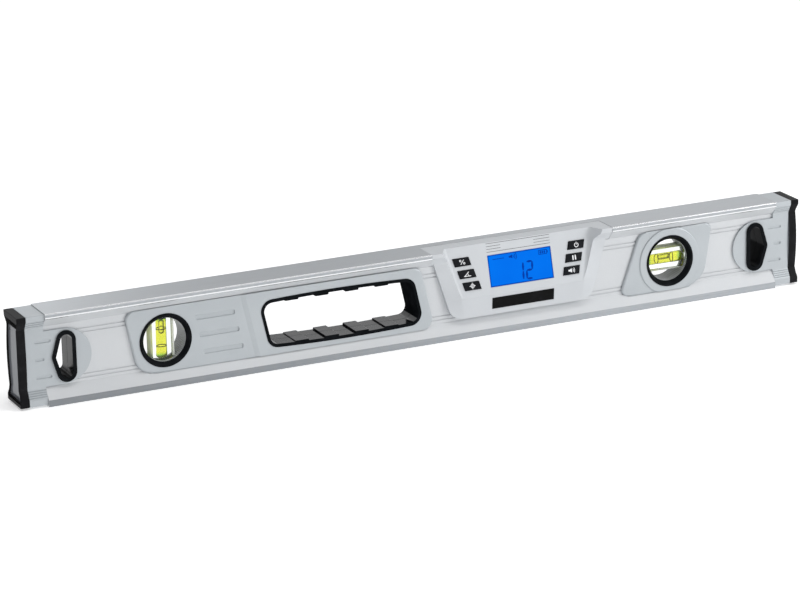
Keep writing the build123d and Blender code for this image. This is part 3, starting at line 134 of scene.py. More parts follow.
world = bpy.data.worlds.new("white_room")
world.use_nodes = True
room = world.node_tree.nodes["Background"]
room.inputs["Color"].default_value = ROOM_COLOUR
room.inputs["Strength"].default_value = ROOM_STRENGTH
bpy.context.scene.world = world
bpy.context.scene.view_settings.view_transform = "Standard"
for name, (place, target, width, height, power) in LAMPS.items():
    turn = (Vector(target) - Vector(place)).to_track_quat("-Z", "Y").to_euler()
    bpy.ops.object.light_add(type="AREA", location=place, rotation=turn)
    lamp = bpy.context.object
    lamp.name = name
    lamp.data.shape = "RECTANGLE"
    lamp.data.size = width
    lamp.data.size_y = height
    lamp.data.energy = power

# %% [markdown]
# A finish is a small network of nodes. Wiring it node by node is long to read, so this small class wraps
# one socket and lets sums be written as Python: 1 - mask adds the Math node that works it out. Every
# other node comes from one method, which takes the node's settings first and then its sockets.

# %% Shader sums
class Wire:
    """A shader socket that can be used in Python sums."""

    def __init__(self, tree, socket=None):
        self.tree = tree
        self.socket = socket

    def node(self, kind, settings=None, sockets=None, out=0):
        made = self.tree.nodes.new("ShaderNode" + kind)
        for name, value in (settings or {}).items():
            setattr(made, name, value)
        for name, value in (sockets or {}).items():
            if isinstance(value, Wire):
                self.tree.links.new(value.socket, made.inputs[name])
            else:
                made.inputs[name].default_value = value
        return Wire(self.tree, made.outputs[out])

    def sum(self, operation, first, second):
        return self.node("Math", {"operation": operation}, {0: first, 1: second})

    def __add__(self, other):
        return self.sum("ADD", self, other)

    def __sub__(self, other):
        return self.sum("SUBTRACT", self, other)

    def __rsub__(self, other):
        return self.sum("SUBTRACT", other, self)

    def __mul__(self, other):
        return self.sum("MULTIPLY", self, other)

    def __gt__(self, other):
        return self.sum("GREATER_THAN", self, other)

    def __lt__(self, other):
        return self.sum("LESS_THAN", self, other)

    def __or__(self, other):
        return self.sum("MAXIMUM", self, other)

    def __abs__(self):
        return self.sum("ABSOLUTE", self, 0.0)

    __radd__ = __add__
    __rmul__ = __mul__


def finish(name, recipe):
    """A material whose shader sockets take the values and wires that a recipe gives."""
    made = bpy.data.materials.new(name)
    made.use_nodes = True
    tree = made.node_tree
    shader = tree.nodes["Principled BSDF"]
    for socket, value in recipe(Wire(tree)).items():
        if isinstance(value, Wire):
            tree.links.new(value.socket, shader.inputs[socket])
        else:
            shader.inputs[socket].default_value = value
    return made


print("shader sums are ready")

# %% [markdown]
# All finishes are mixed from a few patterns: the place of a point, a noise whose lumps have a known size,
# a colour between two others, a smooth step and a bump. Image textures could hold them too, but noise in
# Object coordinates has no seams, has its size in millimetres, and goes along when a piece moves.

# %% Patterns
def place_on(pen):
    """The three Object coordinates of a point on a piece, in metres."""
    place = pen.node("TexCoord", out="Object")
    return [pen.node("SeparateXYZ", None, {"Vector": place}, axis) for axis in "XYZ"]


def grain(pen, size, stretch=(1, 1, 1), detail=2.0):
    """Noise with lumps of this size in millimetres, drawn out along the axes by stretch."""
    place = pen.node("TexCoord", out="Object")
    stretched = pen.node("Mapping", None, {"Vector": place, "Scale": [1 / s for s in stretch]})
    return pen.node("TexNoise", None, {"Vector": stretched, "Scale": 1 / (size * MM), "Detail": detail})


def tint(pen, factor, low, high):
    """A colour from low to high, each a plain colour or a wire, as the factor goes from 0 to 1."""
    low, high = [c if isinstance(c, Wire) else (*c, 1) for c in (low, high)]
    return pen.node("Mix", {"data_type": "RGBA"}, {0: factor, 6: low, 7: high}, 2)


def smooth_step(pen, value, low, high):
    """0 below low and 1 above high, with an even rise between them."""
    ends = {"Value": value, "From Min": low, "From Max": high}
    return pen.node("MapRange", {"interpolation_type": "SMOOTHSTEP"}, ends)


def bump(pen, height, depth):
    """A surface normal disturbed by a height, whose full swing is a depth in millimetres."""
    return pen.node("Bump", None, {"Height": height, "Distance": depth * MM, "Strength": 1.0}, "Normal")


print("patterns are ready")

# %% [markdown]
# The floor is pale paper with a broad, faint mottle. Stronger lamps could make it white, but they would
# bleach the level as well, so the paper gives off a little light of its own.

# %% Floor finish
PAPER = ((0.90, 0.90, 0.90), (0.94, 0.94, 0.94))


def pale_floor(pen):
    mottle = grain(pen, 400)
    return {
        "Base Color": tint(pen, mottle, *PAPER),
        "Roughness": 0.9,
        "Emission Color": (1.0, 1.0, 1.0, 1.0),
        "Emission Strength": 0.38,
    }


floor.data.materials.append(finish("pale_floor", pale_floor))
print("floor finish:", floor.data.materials[0].name)

# %% [markdown]
# The beam is an extruded aluminium I-section. The web between the flanges is coated silver, while the top
# face, the base and the narrow lips are milled bare after coating, so that they are true to a hair, and
# their edges are broken to a small polished round, whose lighter colour is a painted highlight. Several
# materials could be given to different faces, but here one finish tells the faces apart by their place:
# whatever lies on the outermost planes is bare metal, with fine cutter streaks along the beam. The lip
# along the base has painted shade that darkens it towards its left end.

# %% Beam finish
LIP_OUT = 14.05 * MM
LIP_FOOT = 61.3 * MM
BASE_LIP = 5.0 * MM
BASE_FACE = 0.05 * MM
TOP_FACE = 64.55 * MM
EDGE = 0.7 * MM
LIP_SHADE_FROM_TO = (-0.3, 0.2)
BARE_TOP = ((0.34, 0.36, 0.38), (0.50, 0.52, 0.54))
BARE_LIP = ((0.30, 0.32, 0.34), (0.46, 0.48, 0.50))
SHADED_LIP = (0.14, 0.15, 0.16)
EDGE_HIGHLIGHT = (0.80, 0.81, 0.82)
SILVER_COAT = ((0.53, 0.55, 0.57), (0.64, 0.65, 0.66))


def milled_beam(pen):
    x, y, z = place_on(pen)
    edge = (abs(y) > LIP_OUT - EDGE) * ((z > TOP_FACE - EDGE) | (abs(z - LIP_FOOT) < EDGE))
    bare = (abs(y) > LIP_OUT) | (z > TOP_FACE) | (z < BASE_FACE) | edge
    streak = grain(pen, 0.5, (120, 1, 1), 4.0)
    fleck = grain(pen, 0.3)
    cloudy = grain(pen, 30)
    # Painted shade: the base lip is darker towards its left end.
    lip_shade = (1 - smooth_step(pen, x, *LIP_SHADE_FROM_TO)) * (z < BASE_LIP) * 0.6
    top = tint(pen, streak, *BARE_TOP)
    lip = tint(pen, lip_shade, tint(pen, streak, *BARE_LIP), SHADED_LIP)
    # The rounds are polished, and their colour, much lighter than the bare metal beside them, is a painted
    # highlight.
    metal = tint(pen, edge, tint(pen, abs(y) > LIP_OUT, top, lip), EDGE_HIGHLIGHT)
    coat = tint(pen, fleck * 0.6 + cloudy * 0.4, *SILVER_COAT)
    return {
        "Base Color": tint(pen, bare, coat, metal),
        "Metallic": 0.25 + bare * 0.7,
        "Roughness": 0.42 + bare * -0.14 + edge * -0.14 + streak * bare * 0.12 + fleck * (1 - bare) * 0.08,
        "Normal": bump(pen, streak * bare + fleck * (1 - bare) * 0.5, 0.01),
    }


finishes = {"beam_aluminium": finish("milled_beam", milled_beam)}
print("beam nodes:", len(finishes["beam_aluminium"].node_tree.nodes))

# %% [markdown]
# The covers, sleeves and housings are moulded plastic, sprayed with satin silver paint. Such paint has a
# fine orange-peel skin and tiny metal flakes that catch the light one by one. A flat grey would look like
# putty, so the colour varies a little at two sizes and the roughness follows the flakes. The paint of the
# display housing is lighter and duller, so both paints come from one recipe with other values.

# %% Satin silver paint
COVER_SILVER = ((0.39, 0.42, 0.44), (0.50, 0.53, 0.55))
HOUSING_SILVER = ((0.49, 0.51, 0.53), (0.60, 0.62, 0.64))


def satin_silver(low, high, metallic, rough):
    def recipe(pen):
        flake = grain(pen, 0.18)
        peel = grain(pen, 0.7)
        cloudy = grain(pen, 22)
        return {
            "Base Color": tint(pen, flake * 0.5 + cloudy * 0.5, low, high),
            "Metallic": metallic,
            "Roughness": rough + flake * 0.12,
            "Normal": bump(pen, peel + flake * 0.4, 0.012),
        }

    return recipe


finishes["silver_plastic"] = finish("satin_silver", satin_silver(*COVER_SILVER, 0.3, 0.36))
finishes["housing_plastic"] = finish("housing_silver", satin_silver(*HOUSING_SILVER, 0.1, 0.5))
print("finishes so far:", sorted(finishes))

# %% [markdown]
# Rubber and black mouldings are the dark parts. Rubber is matt, with a greyish bloom from handling that
# gathers in patches, while black ABS is smoother and shows a fine spark-eroded grain from its mould. All
# take the same recipe with other colours, roughness and depth of grain. Three have polished parts as well:
# the recessed end plates of the caps, the upper sides of the ribs in the hand hole, and the wall of the
# left hang hole. Separate objects could carry that gloss, but a clear coat that a mask lets through only
# there is simpler.

# %% Rubber and black mouldings
CAP_PLATE = 299.0 * MM
PLATE_GREY_AND_SHEEN = (0.14, 0.147, 0.163)
LEFT_END = -250.0 * MM


def moulded(low, high, rough, grain_size, depth):
    def recipe(pen):
        pitted = grain(pen, grain_size)
        patch = grain(pen, 9.0, detail=4.0)
        return {
            "Base Color": tint(pen, smooth_step(pen, patch, 0.4, 0.75), low, high),
            "Roughness": rough + patch * 0.14,
            "Specular IOR Level": 0.06,
            "Normal": bump(pen, pitted, depth),
        }

    return recipe


def facing(pen, axis):
    """How far the surface faces along an axis, from -1 to 1."""
    return pen.node("SeparateXYZ", None, {"Vector": pen.node("NewGeometry", out="Normal")}, axis)


plain_cap = moulded((0.008, 0.008, 0.009), (0.016, 0.016, 0.018), 0.38, 0.35, 0.012)
plain_liner = moulded((0.006, 0.007, 0.008), (0.012, 0.013, 0.015), 0.24, 0.3, 0.006)


def cap_rubber(pen):
    values = plain_cap(pen)
    x, _, _ = place_on(pen)
    plate = (abs(facing(pen, "X")) > 0.9) * (abs(x) < CAP_PLATE)
    # The end plates take a grey that is partly their own colour and partly a painted reflection.
    values["Base Color"] = tint(pen, plate, values["Base Color"], PLATE_GREY_AND_SHEEN)
    values["Coat Weight"] = plate * 0.6
    values["Coat Roughness"] = 0.1
    return values


def grip_rubber(pen):
    values = plain_liner(pen)
    values["Specular IOR Level"] = 0.0
    values["Coat Weight"] = facing(pen, "Z") > 0.6
    values["Coat Roughness"] = 0.15
    return values


def liner_black(pen):
    values = plain_liner(pen)
    x, _, _ = place_on(pen)
    values["Specular IOR Level"] = 0.015
    values["Coat Weight"] = (x < LEFT_END) * (facing(pen, "X") < -0.6) * 0.55
    values["Coat Roughness"] = 0.2
    return values


DARK_RECIPES = {
    "cap_rubber": cap_rubber,
    "key_rubber": moulded((0.008, 0.009, 0.011), (0.014, 0.015, 0.018), 0.42, 0.2, 0.008),
    "black_plastic": liner_black,
    "component_black": moulded((0.010, 0.010, 0.010), (0.022, 0.022, 0.022), 0.45, 0.25, 0.01),
    "vial_plug": moulded((0.008, 0.012, 0.010), (0.015, 0.022, 0.018), 0.3, 0.3, 0.006),
    "plate_black": moulded((0.004, 0.004, 0.004), (0.008, 0.008, 0.009), 0.10, 0.6, 0.002),
    "mark_ink": moulded((0.003, 0.003, 0.002), (0.008, 0.009, 0.004), 0.45, 0.2, 0.004),
}
for slot_name, recipe in DARK_RECIPES.items():
    finishes[slot_name] = finish(slot_name.replace("_", "_moulded_", 1), recipe)
grip_finish = finish("grip_rubber", grip_rubber)
print("dark finishes:", sorted(DARK_RECIPES), "and", grip_finish.name)

# %% [markdown]
# Each vial is a clear acrylic block with a bore full of yellow-green spirit, held in a cradle with fine
# ridges. The block's sides are sawn and stay dull, and the spirit has painted shade near its ends, a darker
# green where more of it is looked through. For the light to bend rightly, each boundary is modelled once:
# the outer skin of the block, the skin of the spirit inside it, and the skin of the bubble inside that. Each
# skin takes the ratio of the two refractive indices that meet there: 1.49 for acrylic in air, and less than
# 1 inside.

# %% Clear finishes
ACRYLIC_INDEX = 1.49
SPIRIT_INDEX = 1.36
VIAL_X = 194.2 * MM
VIAL_Z = 32.3 * MM
BLOCK_SIDE = 7.7 * MM
SAWN_GREY = (0.50, 0.58, 0.54)
END_SHADE_FROM_TO = (10.5 * MM, 13.5 * MM)
SPIRIT_END_SHADE = (0.08, 0.36, 0.05)


def clear_acrylic(pen):
    x, _, z = place_on(pen)
    haze = grain(pen, 3.0)
    sawn = (x < 0) * (abs(x + VIAL_X) > BLOCK_SIDE) | (x > 0) * (abs(z - VIAL_Z) > BLOCK_SIDE)
    clear = tint(pen, haze, (0.93, 0.97, 0.94), (0.98, 1.0, 0.98))
    return {
        "Base Color": tint(pen, sawn, clear, SAWN_GREY),
        "Roughness": haze * 0.03 + sawn * 0.45,
        "Transmission Weight": 1.0,
        "IOR": ACRYLIC_INDEX,
    }


def spirit(pen):
    x, _, z = place_on(pen)
    swirl = grain(pen, 6.0)
    yellow = tint(pen, swirl, (0.64, 0.64, 0.035), (0.72, 0.71, 0.07))
    reach = abs(abs(x) - VIAL_X) | abs(z - VIAL_Z)
    return {
        # Painted shade: the spirit turns a darker green near its ends.
        "Base Color": tint(pen, smooth_step(pen, reach, *END_SHADE_FROM_TO), yellow, SPIRIT_END_SHADE),
        # Painted light: the spirit gives off a faint glow of its own, though it is no lamp.
        "Emission Color": tint(pen, swirl, (0.62, 0.62, 0.01), (0.74, 0.72, 0.02)),
        "Emission Strength": 0.06,
        "Roughness": 0.02,
        "Transmission Weight": 1.0,
        "IOR": SPIRIT_INDEX / ACRYLIC_INDEX,
    }


def air_bubble(pen):
    film = grain(pen, 2.0)
    return {
        "Base Color": tint(pen, film, (0.94, 0.96, 0.80), (0.99, 1.0, 0.9)),
        "Roughness": 0.01,
        "Transmission Weight": 1.0,
        "IOR": 1 / SPIRIT_INDEX,
    }


finishes["clear_acrylic"] = finish("clear_acrylic", clear_acrylic)
finishes["vial_liquid"] = finish("yellow_spirit", spirit)
finishes["bubble_air"] = finish("air_bubble", air_bubble)
print("clear finishes are ready, with indices", ACRYLIC_INDEX, "and", SPIRIT_INDEX)

# %% [markdown]
# The cradles that hold the vials are grey frosted plastic with fine ridges all round, running from front
# to back. They could be cut into the mesh, but they are as fine as a file's teeth, so the finish draws
# them: a wave that follows a point's turn about the vial's middle rises and falls 72 times in a round. The
# same wave paints shade into the troughs and a highlight onto the crests.

# %% Cradle finish
RIDGES = 72
CRADLE_RIDGE_SHADES = ((0.14, 0.15, 0.16), (0.52, 0.54, 0.56))


def frosted_cradle(pen):
    x, _, z = place_on(pen)
    frost = grain(pen, 0.5, detail=4.0)
    turn = pen.sum("ARCTAN2", z - VIAL_Z, abs(x) - VIAL_X)
    ridge = pen.sum("PINGPONG", turn * (RIDGES / math.pi), 1.0)
    return {
        # Painted shade and highlight: the colour follows the ridges, darker in their troughs and lighter on
        # their crests.
        "Base Color": tint(pen, frost * 0.4 + ridge * 0.6, *CRADLE_RIDGE_SHADES),
        "Roughness": 0.3 + frost * 0.2,
        "Normal": bump(pen, ridge + frost * 0.1, 0.25),
    }


finishes["grey_plastic"] = finish("frosted_cradle", frosted_cradle)
print("cradle finish has", RIDGES, "ridges")

# %% [markdown]
# The display is a blue liquid-crystal panel lit from behind, so most of its colour is light that it gives
# off. The lamp behind it sits at one side, which makes the glow a little uneven, and the rim stays darker,
# because it lies in the shade of the housing. Lamps of its own could light it, but light from the finish
# itself stays on the panel. A clear cover gives it a gloss.

# %% Display finish
PANEL_AT = Vector((75.0, -4.2, 64.6)) * MM
PANEL_LEAN = math.radians(14.25)
WINDOW_DOWN = 20.55 * MM
WINDOW_HALF = (24.8 * MM, 11.2 * MM)
SHADE_WIDTH = (0.9 * MM, 0.5 * MM)
SCREEN_BLUE = ((0.0, 0.12, 0.70), (0.0, 0.18, 0.84))
SHADED_BLUE = (0.0, 0.03, 0.26)


def lit_display(pen):
    x, _, z = place_on(pen)
    across = abs(x - PANEL_AT.x)
    up = abs((z - PANEL_AT.z) * (1 / math.cos(PANEL_LEAN)) + WINDOW_DOWN)
    sides, ends = [
        smooth_step(pen, reach, half - SHADE_WIDTH[0], half - SHADE_WIDTH[1])
        for reach, half in zip((across, up), WINDOW_HALF)
    ]
    glow = grain(pen, 25.0, detail=1.0)
    return {
        "Base Color": (0.0, 0.02, 0.10, 1.0),
        "Emission Color": tint(pen, (sides | ends) * 0.8, tint(pen, glow, *SCREEN_BLUE), SHADED_BLUE),
        "Emission Strength": 1.0,
        "Roughness": 0.14 + glow * 0.06,
        "Specular IOR Level": 0.03,
    }


finishes["display_blue"] = finish("lit_display", lit_display)
print("display finish:", finishes["display_blue"].name)

# %% [markdown]
# Inside are the glass cell, its white diffuser, the green circuit board and the jackets of the batteries.
# They show only when the door is open or the level is taken apart. Each could have a recipe of its own,
# but one will do: a slightly hazy, smooth surface in the colour of the piece.

# %% Inner pieces
INNER_FINISHES = {  # the name of each finish, its two colours and its roughness
    "lcd_glass": ("display_glass", (0.02, 0.10, 0.40), (0.05, 0.18, 0.55), 0.05),
    "white_plastic": ("diffuser_white", (0.80, 0.80, 0.80), (0.9, 0.9, 0.9), 0.4),
    "board_green": ("board_green", (0.01, 0.10, 0.03), (0.02, 0.16, 0.05), 0.3),
    "cell_jacket": ("cell_jacket", (0.03, 0.04, 0.06), (0.06, 0.07, 0.10), 0.25),
}


def smooth_and_hazy(low, high, rough):
    def recipe(pen):
        haze = grain(pen, 4.0)
        return {"Base Color": tint(pen, haze, low, high), "Roughness": rough + haze * 0.1}

    return recipe


for slot_name, (name, low, high, rough) in INNER_FINISHES.items():
    finishes[slot_name] = finish(name, smooth_and_hazy(low, high, rough))
print("inner finishes:", sorted(INNER_FINISHES))

# %% [markdown]
# The screws, the hinge pin and the battery contacts are zinc-plated steel: bright, slightly bluish, and
# a little streaked from turning. Plain metal would look like chrome, so a noise that is drawn out in one
# direction varies its colour, gloss and surface together.

# %% Plated steel
def plated_steel(pen):
    turned = grain(pen, 0.4, (1, 1, 8), 3.0)
    return {
        "Base Color": tint(pen, turned, (0.50, 0.52, 0.55), (0.74, 0.75, 0.76)),
        "Metallic": 1.0,
        "Roughness": 0.22 + turned * 0.18,
        "Normal": bump(pen, turned, 0.008),
    }


finishes["steel"] = finish("plated_steel", plated_steel)
print("steel finish:", finishes["steel"].name)

# %% [markdown]
# Every solid names the material slot that it takes its finish from, so one loop dresses them all. The
# liner of the hand hole shares its slot with the other black pieces, but it is softer to the hand, so it
# gets its rubber by name.

# %% Dress the solids
for node_name, node_object in frame["nodes"].items():
    node_object.material_slots[0].material = finishes[slot_of[node_name]]
for face in ("front", "back"):
    frame["nodes"]["grip_liner_" + face].material_slots[0].material = grip_finish
print("finishes:", len(finishes), "on", len(frame["nodes"]), "solids")

# %% [markdown]
# The visible pieces have crisp edges as solids, but a moulding, a rubber cap and a vial ring have a small
# round on every edge, and it is this round that catches the light. A Bevel modifier would treat all edges
# alike, so each piece is copied, its loose triangles are merged, flat regions are cleaned of their cuts,
# and the sharp edges alone are bevelled in edit mode. Where a wall is too thin for its round, the bevel
# throws points off, and these are drawn back to the solid. Last, a Weighted Normal modifier keeps large
# flat faces flat beside the rounds.

# %% Rounding tools
TOUCHING = 0.002 * MM
NEARLY_FLAT = math.radians(0.5)
SHARP = math.radians(35)
FREE_END_ROUND = 1.5 * MM
FARTHEST = 0.45 * MM
SMOOTH_BEND = 25.0


def only(*objects):
    """Selects these objects alone and makes the last one active."""
    bpy.ops.object.select_all(action="DESELECT")
    for chosen in objects:
        chosen.select_set(True)
    bpy.context.view_layer.objects.active = objects[-1]


def choose_edges(piece, test):
    """Goes to edit mode with only those edges selected whose two ends both pass a test."""
    bpy.ops.object.mode_set(mode="EDIT")
    bpy.ops.mesh.select_mode(type="EDGE")
    bpy.ops.mesh.select_all(action="DESELECT")
    bpy.ops.object.mode_set(mode="OBJECT")
    for edge in piece.data.edges:
        edge.select = all(test(piece.data.vertices[v].co) for v in edge.vertices)
    bpy.ops.object.mode_set(mode="EDIT")


def draw_back(piece, solid):
    """Moves points that a bevel threw off, for want of room, back to the nearest point of the solid."""
    corners = [v.co for v in solid.data.vertices]
    skin = BVHTree.FromPolygons(corners, [f.vertices for f in solid.data.polygons])
    for point in piece.data.vertices:
        nearest, _, _, distance = skin.find_nearest(point.co)
        if distance > FARTHEST:
            point.co = nearest


def softened(node_name, edge, bend=SMOOTH_BEND, free_end=None):
    """A copy of a solid with its sharp edges rounded, and those that pass a test rounded more.

    The edge is in millimetres, and bends of fewer degrees than bend are shaded smooth.
    """
    only(frame["nodes"][node_name])
    bpy.ops.object.duplicate()
    piece = bpy.context.object
    piece.name = node_name + "_rounded"
    del piece["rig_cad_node"]
    bpy.ops.object.mode_set(mode="EDIT")
    bpy.ops.mesh.select_all(action="SELECT")
    bpy.ops.mesh.customdata_custom_splitnormals_clear()
    bpy.ops.mesh.remove_doubles(threshold=TOUCHING)
    bpy.ops.mesh.dissolve_limited(angle_limit=NEARLY_FLAT)
    bpy.ops.object.mode_set(mode="OBJECT")
    if free_end:
        choose_edges(piece, free_end)
        bpy.ops.mesh.bevel(offset=FREE_END_ROUND, segments=10, profile=0.5, clamp_overlap=False)
    bpy.ops.object.mode_set(mode="EDIT")
    bpy.ops.mesh.select_mode(type="EDGE")
    bpy.ops.mesh.select_all(action="DESELECT")
    bpy.ops.mesh.edges_select_sharp(sharpness=SHARP)
    bpy.ops.mesh.bevel(offset=edge * MM, segments=2, profile=0.5, clamp_overlap=False)
    if not free_end:  # on a cover, whose rim is very thin, this merge would open the mesh
        bpy.ops.mesh.select_all(action="SELECT")
        bpy.ops.mesh.remove_doubles(threshold=TOUCHING)
    bpy.ops.object.mode_set(mode="OBJECT")
    draw_back(piece, frame["nodes"][node_name])
    bpy.ops.object.shade_smooth_by_angle(angle=math.radians(bend))
    level_out = piece.modifiers.new("flat_faces_stay_flat", "WEIGHTED_NORMAL")
    level_out.keep_sharp = True
    bpy.ops.object.modifier_apply(modifier=level_out.name)
    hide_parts(node_name)
    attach(piece, frame["nodes"][node_name]["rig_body"])
    return piece


print("rounding tools are ready")

# %% [markdown]
# A round suits what a piece is made of: half a millimetre on the rubber caps, less on hard mouldings, and
# least on the thin dark plate. All edges of a cover could have one round too, but the free ends of its
# outer face slope away further, so a test by place picks them out for a wider one. A cover also has a step
# so gentle that smooth shading would hide it, so it is smoothed only across bends of less than ten degrees.

# %% Rounded pieces
GENTLE_BEND = 10.0
COVER_OUT = 9.95 * MM
COVER_ENDS = {  # in millimetres: lean of the ends, left end, right end, and radius to keep clear of
    "grip": (0.22, -207.0, -4.5, 21.5),
    "level": (0.0, 175.0, 211.0, 24.5),
}
ROUNDED = {  # radius of the round, in millimetres
    "cap_left": 0.5, "cap_right": 0.5,
    "sleeve_left": 0.3, "sleeve_right": 0.3,
    "grip_cover_front": 0.35, "grip_cover_back": 0.35,
    "level_cover_front": 0.35, "level_cover_back": 0.35,
    "grip_liner_front": 0.3, "grip_liner_back": 0.3,
    "rear_housing": 0.3, "battery_door": 0.25,
    "front_plate": 0.15,
    "hang_liner_left_front": 0.25, "hang_liner_left_back": 0.25,
    "hang_liner_right_front": 0.25, "hang_liner_right_back": 0.25,
    "plumb_ring_front": 0.2, "plumb_ring_back": 0.2,
    "level_ring_front": 0.2, "level_ring_back": 0.2,
}


def cover_end(cover):
    """A test for the rim of a cover's outer face at its two free ends, clear of its ring."""
    lean, left, right, clear = COVER_ENDS[cover]

    def test(point):
        along = point.x + lean * (point.z - VIAL_Z)
        off_ring = math.hypot(abs(point.x) - VIAL_X, point.z - VIAL_Z) > clear * MM
        return abs(point.y) > COVER_OUT and off_ring and not left * MM < along < right * MM

    return test


for node_name, edge in ROUNDED.items():
    if "_cover_" in node_name:
        made = softened(node_name, edge, GENTLE_BEND, cover_end(node_name.split("_")[0]))
    else:
        made = softened(node_name, edge)
    print(made.name, len(made.data.polygons), "faces")

# %% [markdown]
# The block of a vial is cut from a round bar, so that its ends follow the round cradle. A cube would lack
# those round ends, so it is made as by hand: a disc as thick as the block, cut off flat on four sides with
# bisects, and its rims rounded. Both vials have the same block, so it is modelled once, upright, and
# copied: one copy stands and the other lies down.

# %% Acrylic blocks
# Sizes of the block, in millimetres.
BLOCK_ROUND = 17.3
BLOCK_DEPTH = 10.6
BLOCK_HALF_WIDTH = 8.0
BLOCK_HALF_LENGTH = 16.7
BLOCK_EDGE = 0.3

BLOCK_SHARP = math.radians(25)
BLOCK_BEND = math.radians(30)
VIAL_AT = {"plumb": Vector((-VIAL_X, 0, VIAL_Z)), "level": Vector((VIAL_X, 0, VIAL_Z))}
VIAL_TURN = {"plumb": (0, 0, 0), "level": (0, -math.pi / 2, 0)}


def copied(model, name, place, turn):
    """A copy of a model, with a mesh of its own, turned and moved to its place."""
    only(model)
    bpy.ops.object.duplicate()
    piece = bpy.context.object
    piece.name = name
    piece.location = place
    piece.rotation_euler = turn
    return piece


def settle(piece, slot_name, body):
    """Puts a finished piece's place in its mesh, and gives it its finish and the body it rides on."""
    only(piece)
    bpy.ops.object.transform_apply(location=True, rotation=True, scale=True)
    piece.data.materials.clear()
    piece.data.materials.append(finishes[slot_name])
    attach(piece, body)


bpy.ops.object.select_all(action="DESELECT")
bpy.ops.mesh.primitive_cylinder_add(
    vertices=128, radius=BLOCK_ROUND * MM, depth=BLOCK_DEPTH * MM, rotation=(math.pi / 2, 0, 0)
)
block_model = bpy.context.object
bpy.ops.object.transform_apply(location=True, rotation=True, scale=True)
bpy.ops.object.mode_set(mode="EDIT")
for way in (-1, 1):
    for cut in (Vector((way * BLOCK_HALF_WIDTH, 0, 0)), Vector((0, 0, way * BLOCK_HALF_LENGTH))):
        bpy.ops.mesh.select_all(action="SELECT")
        bpy.ops.mesh.bisect(plane_co=cut * MM, plane_no=cut.normalized(), use_fill=True, clear_outer=True)
bpy.ops.mesh.select_all(action="DESELECT")
bpy.ops.mesh.edges_select_sharp(sharpness=BLOCK_SHARP)
bpy.ops.mesh.bevel(offset=BLOCK_EDGE * MM, segments=2, profile=0.5)
bpy.ops.object.mode_set(mode="OBJECT")
bpy.ops.object.shade_smooth_by_angle(angle=BLOCK_BEND)
for vial, middle in VIAL_AT.items():
    block = copied(block_model, vial + "_block", middle, VIAL_TURN[vial])
    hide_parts(vial + "_vial")
    settle(block, "clear_acrylic", "level_body")
    print(block.name, len(block.data.polygons), "faces")
only(block_model)
bpy.ops.object.delete()

# %% [markdown]
# The spirit fills the bore from the plug to its round blind end, and the bubble lies against the upper
# side of the bore, where it floats. Spheres and tubes could be put together for both, but a bevel is
# quicker: the spirit is a cylinder whose blind end is bevelled into a dome, and the bubble is a shorter
# one with both ends rounded right over. Both are modelled once and copied, as the block is.

# %% Spirit and bubbles
# Sizes in millimetres, and heights from the middle of the upright vial.
BORE = 3.88
SPIRIT_ENDS = (-14.2, 13.1)
SPIRIT_ROUNDS = (2.6, 0.3)
BUBBLE_RADIUS = 2.2
BUBBLE_ENDS = (-5.0, 5.0)
BUBBLE_ROUNDS = (2.1, 2.1)
BUBBLE_OFFSET = {"plumb": Vector((0, -1.2, 7.5)), "level": Vector((0, 0, 1.2))}

SAME_HEIGHT = 0.01 * MM
BAR_BEND = math.radians(40)


def rounded_bar(radius, ends, rounds):
    """An upright round bar between two heights, each end rounded over by its own amount."""
    low, high = ends
    bpy.ops.object.select_all(action="DESELECT")
    bpy.ops.mesh.primitive_cylinder_add(
        vertices=64, radius=radius * MM, depth=(high - low) * MM, location=(0, 0, (high + low) / 2 * MM)
    )
    bar = bpy.context.object
    bpy.ops.object.transform_apply(location=True, rotation=True, scale=True)
    for height, amount in zip(ends, rounds):
        choose_edges(bar, lambda point: abs(point.z - height * MM) < SAME_HEIGHT)
        bpy.ops.mesh.bevel(offset=amount * MM, segments=10, profile=0.5)
        bpy.ops.object.mode_set(mode="OBJECT")
    bpy.ops.object.shade_smooth_by_angle(angle=BAR_BEND)
    return bar


spirit_model = rounded_bar(BORE, SPIRIT_ENDS, SPIRIT_ROUNDS)
bubble_model = rounded_bar(BUBBLE_RADIUS, BUBBLE_ENDS, BUBBLE_ROUNDS)
for vial, middle in VIAL_AT.items():
    liquid = copied(spirit_model, vial + "_spirit", middle, VIAL_TURN[vial])
    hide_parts(vial + "_fluid")
    settle(liquid, "vial_liquid", "level_body")
    bubble = copied(bubble_model, vial + "_air", middle + BUBBLE_OFFSET[vial] * MM, VIAL_TURN[vial])
    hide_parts(vial + "_bubble")
    settle(bubble, "bubble_air", vial + "_bubble_body")
    print(vial, "spirit", len(liquid.data.polygons), "faces, bubble", len(bubble.data.polygons))
only(spirit_model, bubble_model)
bpy.ops.object.delete()

# %% [markdown]
# Signs are drawn flat first, at the size they have, in millimetres on the XY plane: u runs across and v
# runs up. Curves could draw them as well, but three kinds of mesh stroke are enough: a straight one, a
# round one, which a short line draws as it spins about a centre, and one that widens to one side.

# %% Strokes
CORNER = 0.3  # share of a stroke's width
ARC_STEP = 9.0  # degrees
FEWEST_STEPS = 6
STROKE_TOUCHING = 0.001 * MM


def strip(u, v, length, width, turn=0.0):
    """A straight stroke, its middle at u, v, with rounded corners."""
    middle = (u * MM, v * MM, 0)
    bpy.ops.mesh.primitive_plane_add(size=MM, location=middle, rotation=(0, 0, math.radians(turn)))
    made = bpy.context.object
    made.scale = (length, width, 1)
    bpy.ops.object.transform_apply(location=True, rotation=True, scale=True)
    bpy.ops.object.mode_set(mode="EDIT")
    bpy.ops.mesh.select_all(action="SELECT")
    bpy.ops.mesh.bevel(offset=CORNER * width * MM, segments=2, affect="VERTICES")
    bpy.ops.object.mode_set(mode="OBJECT")
    return made


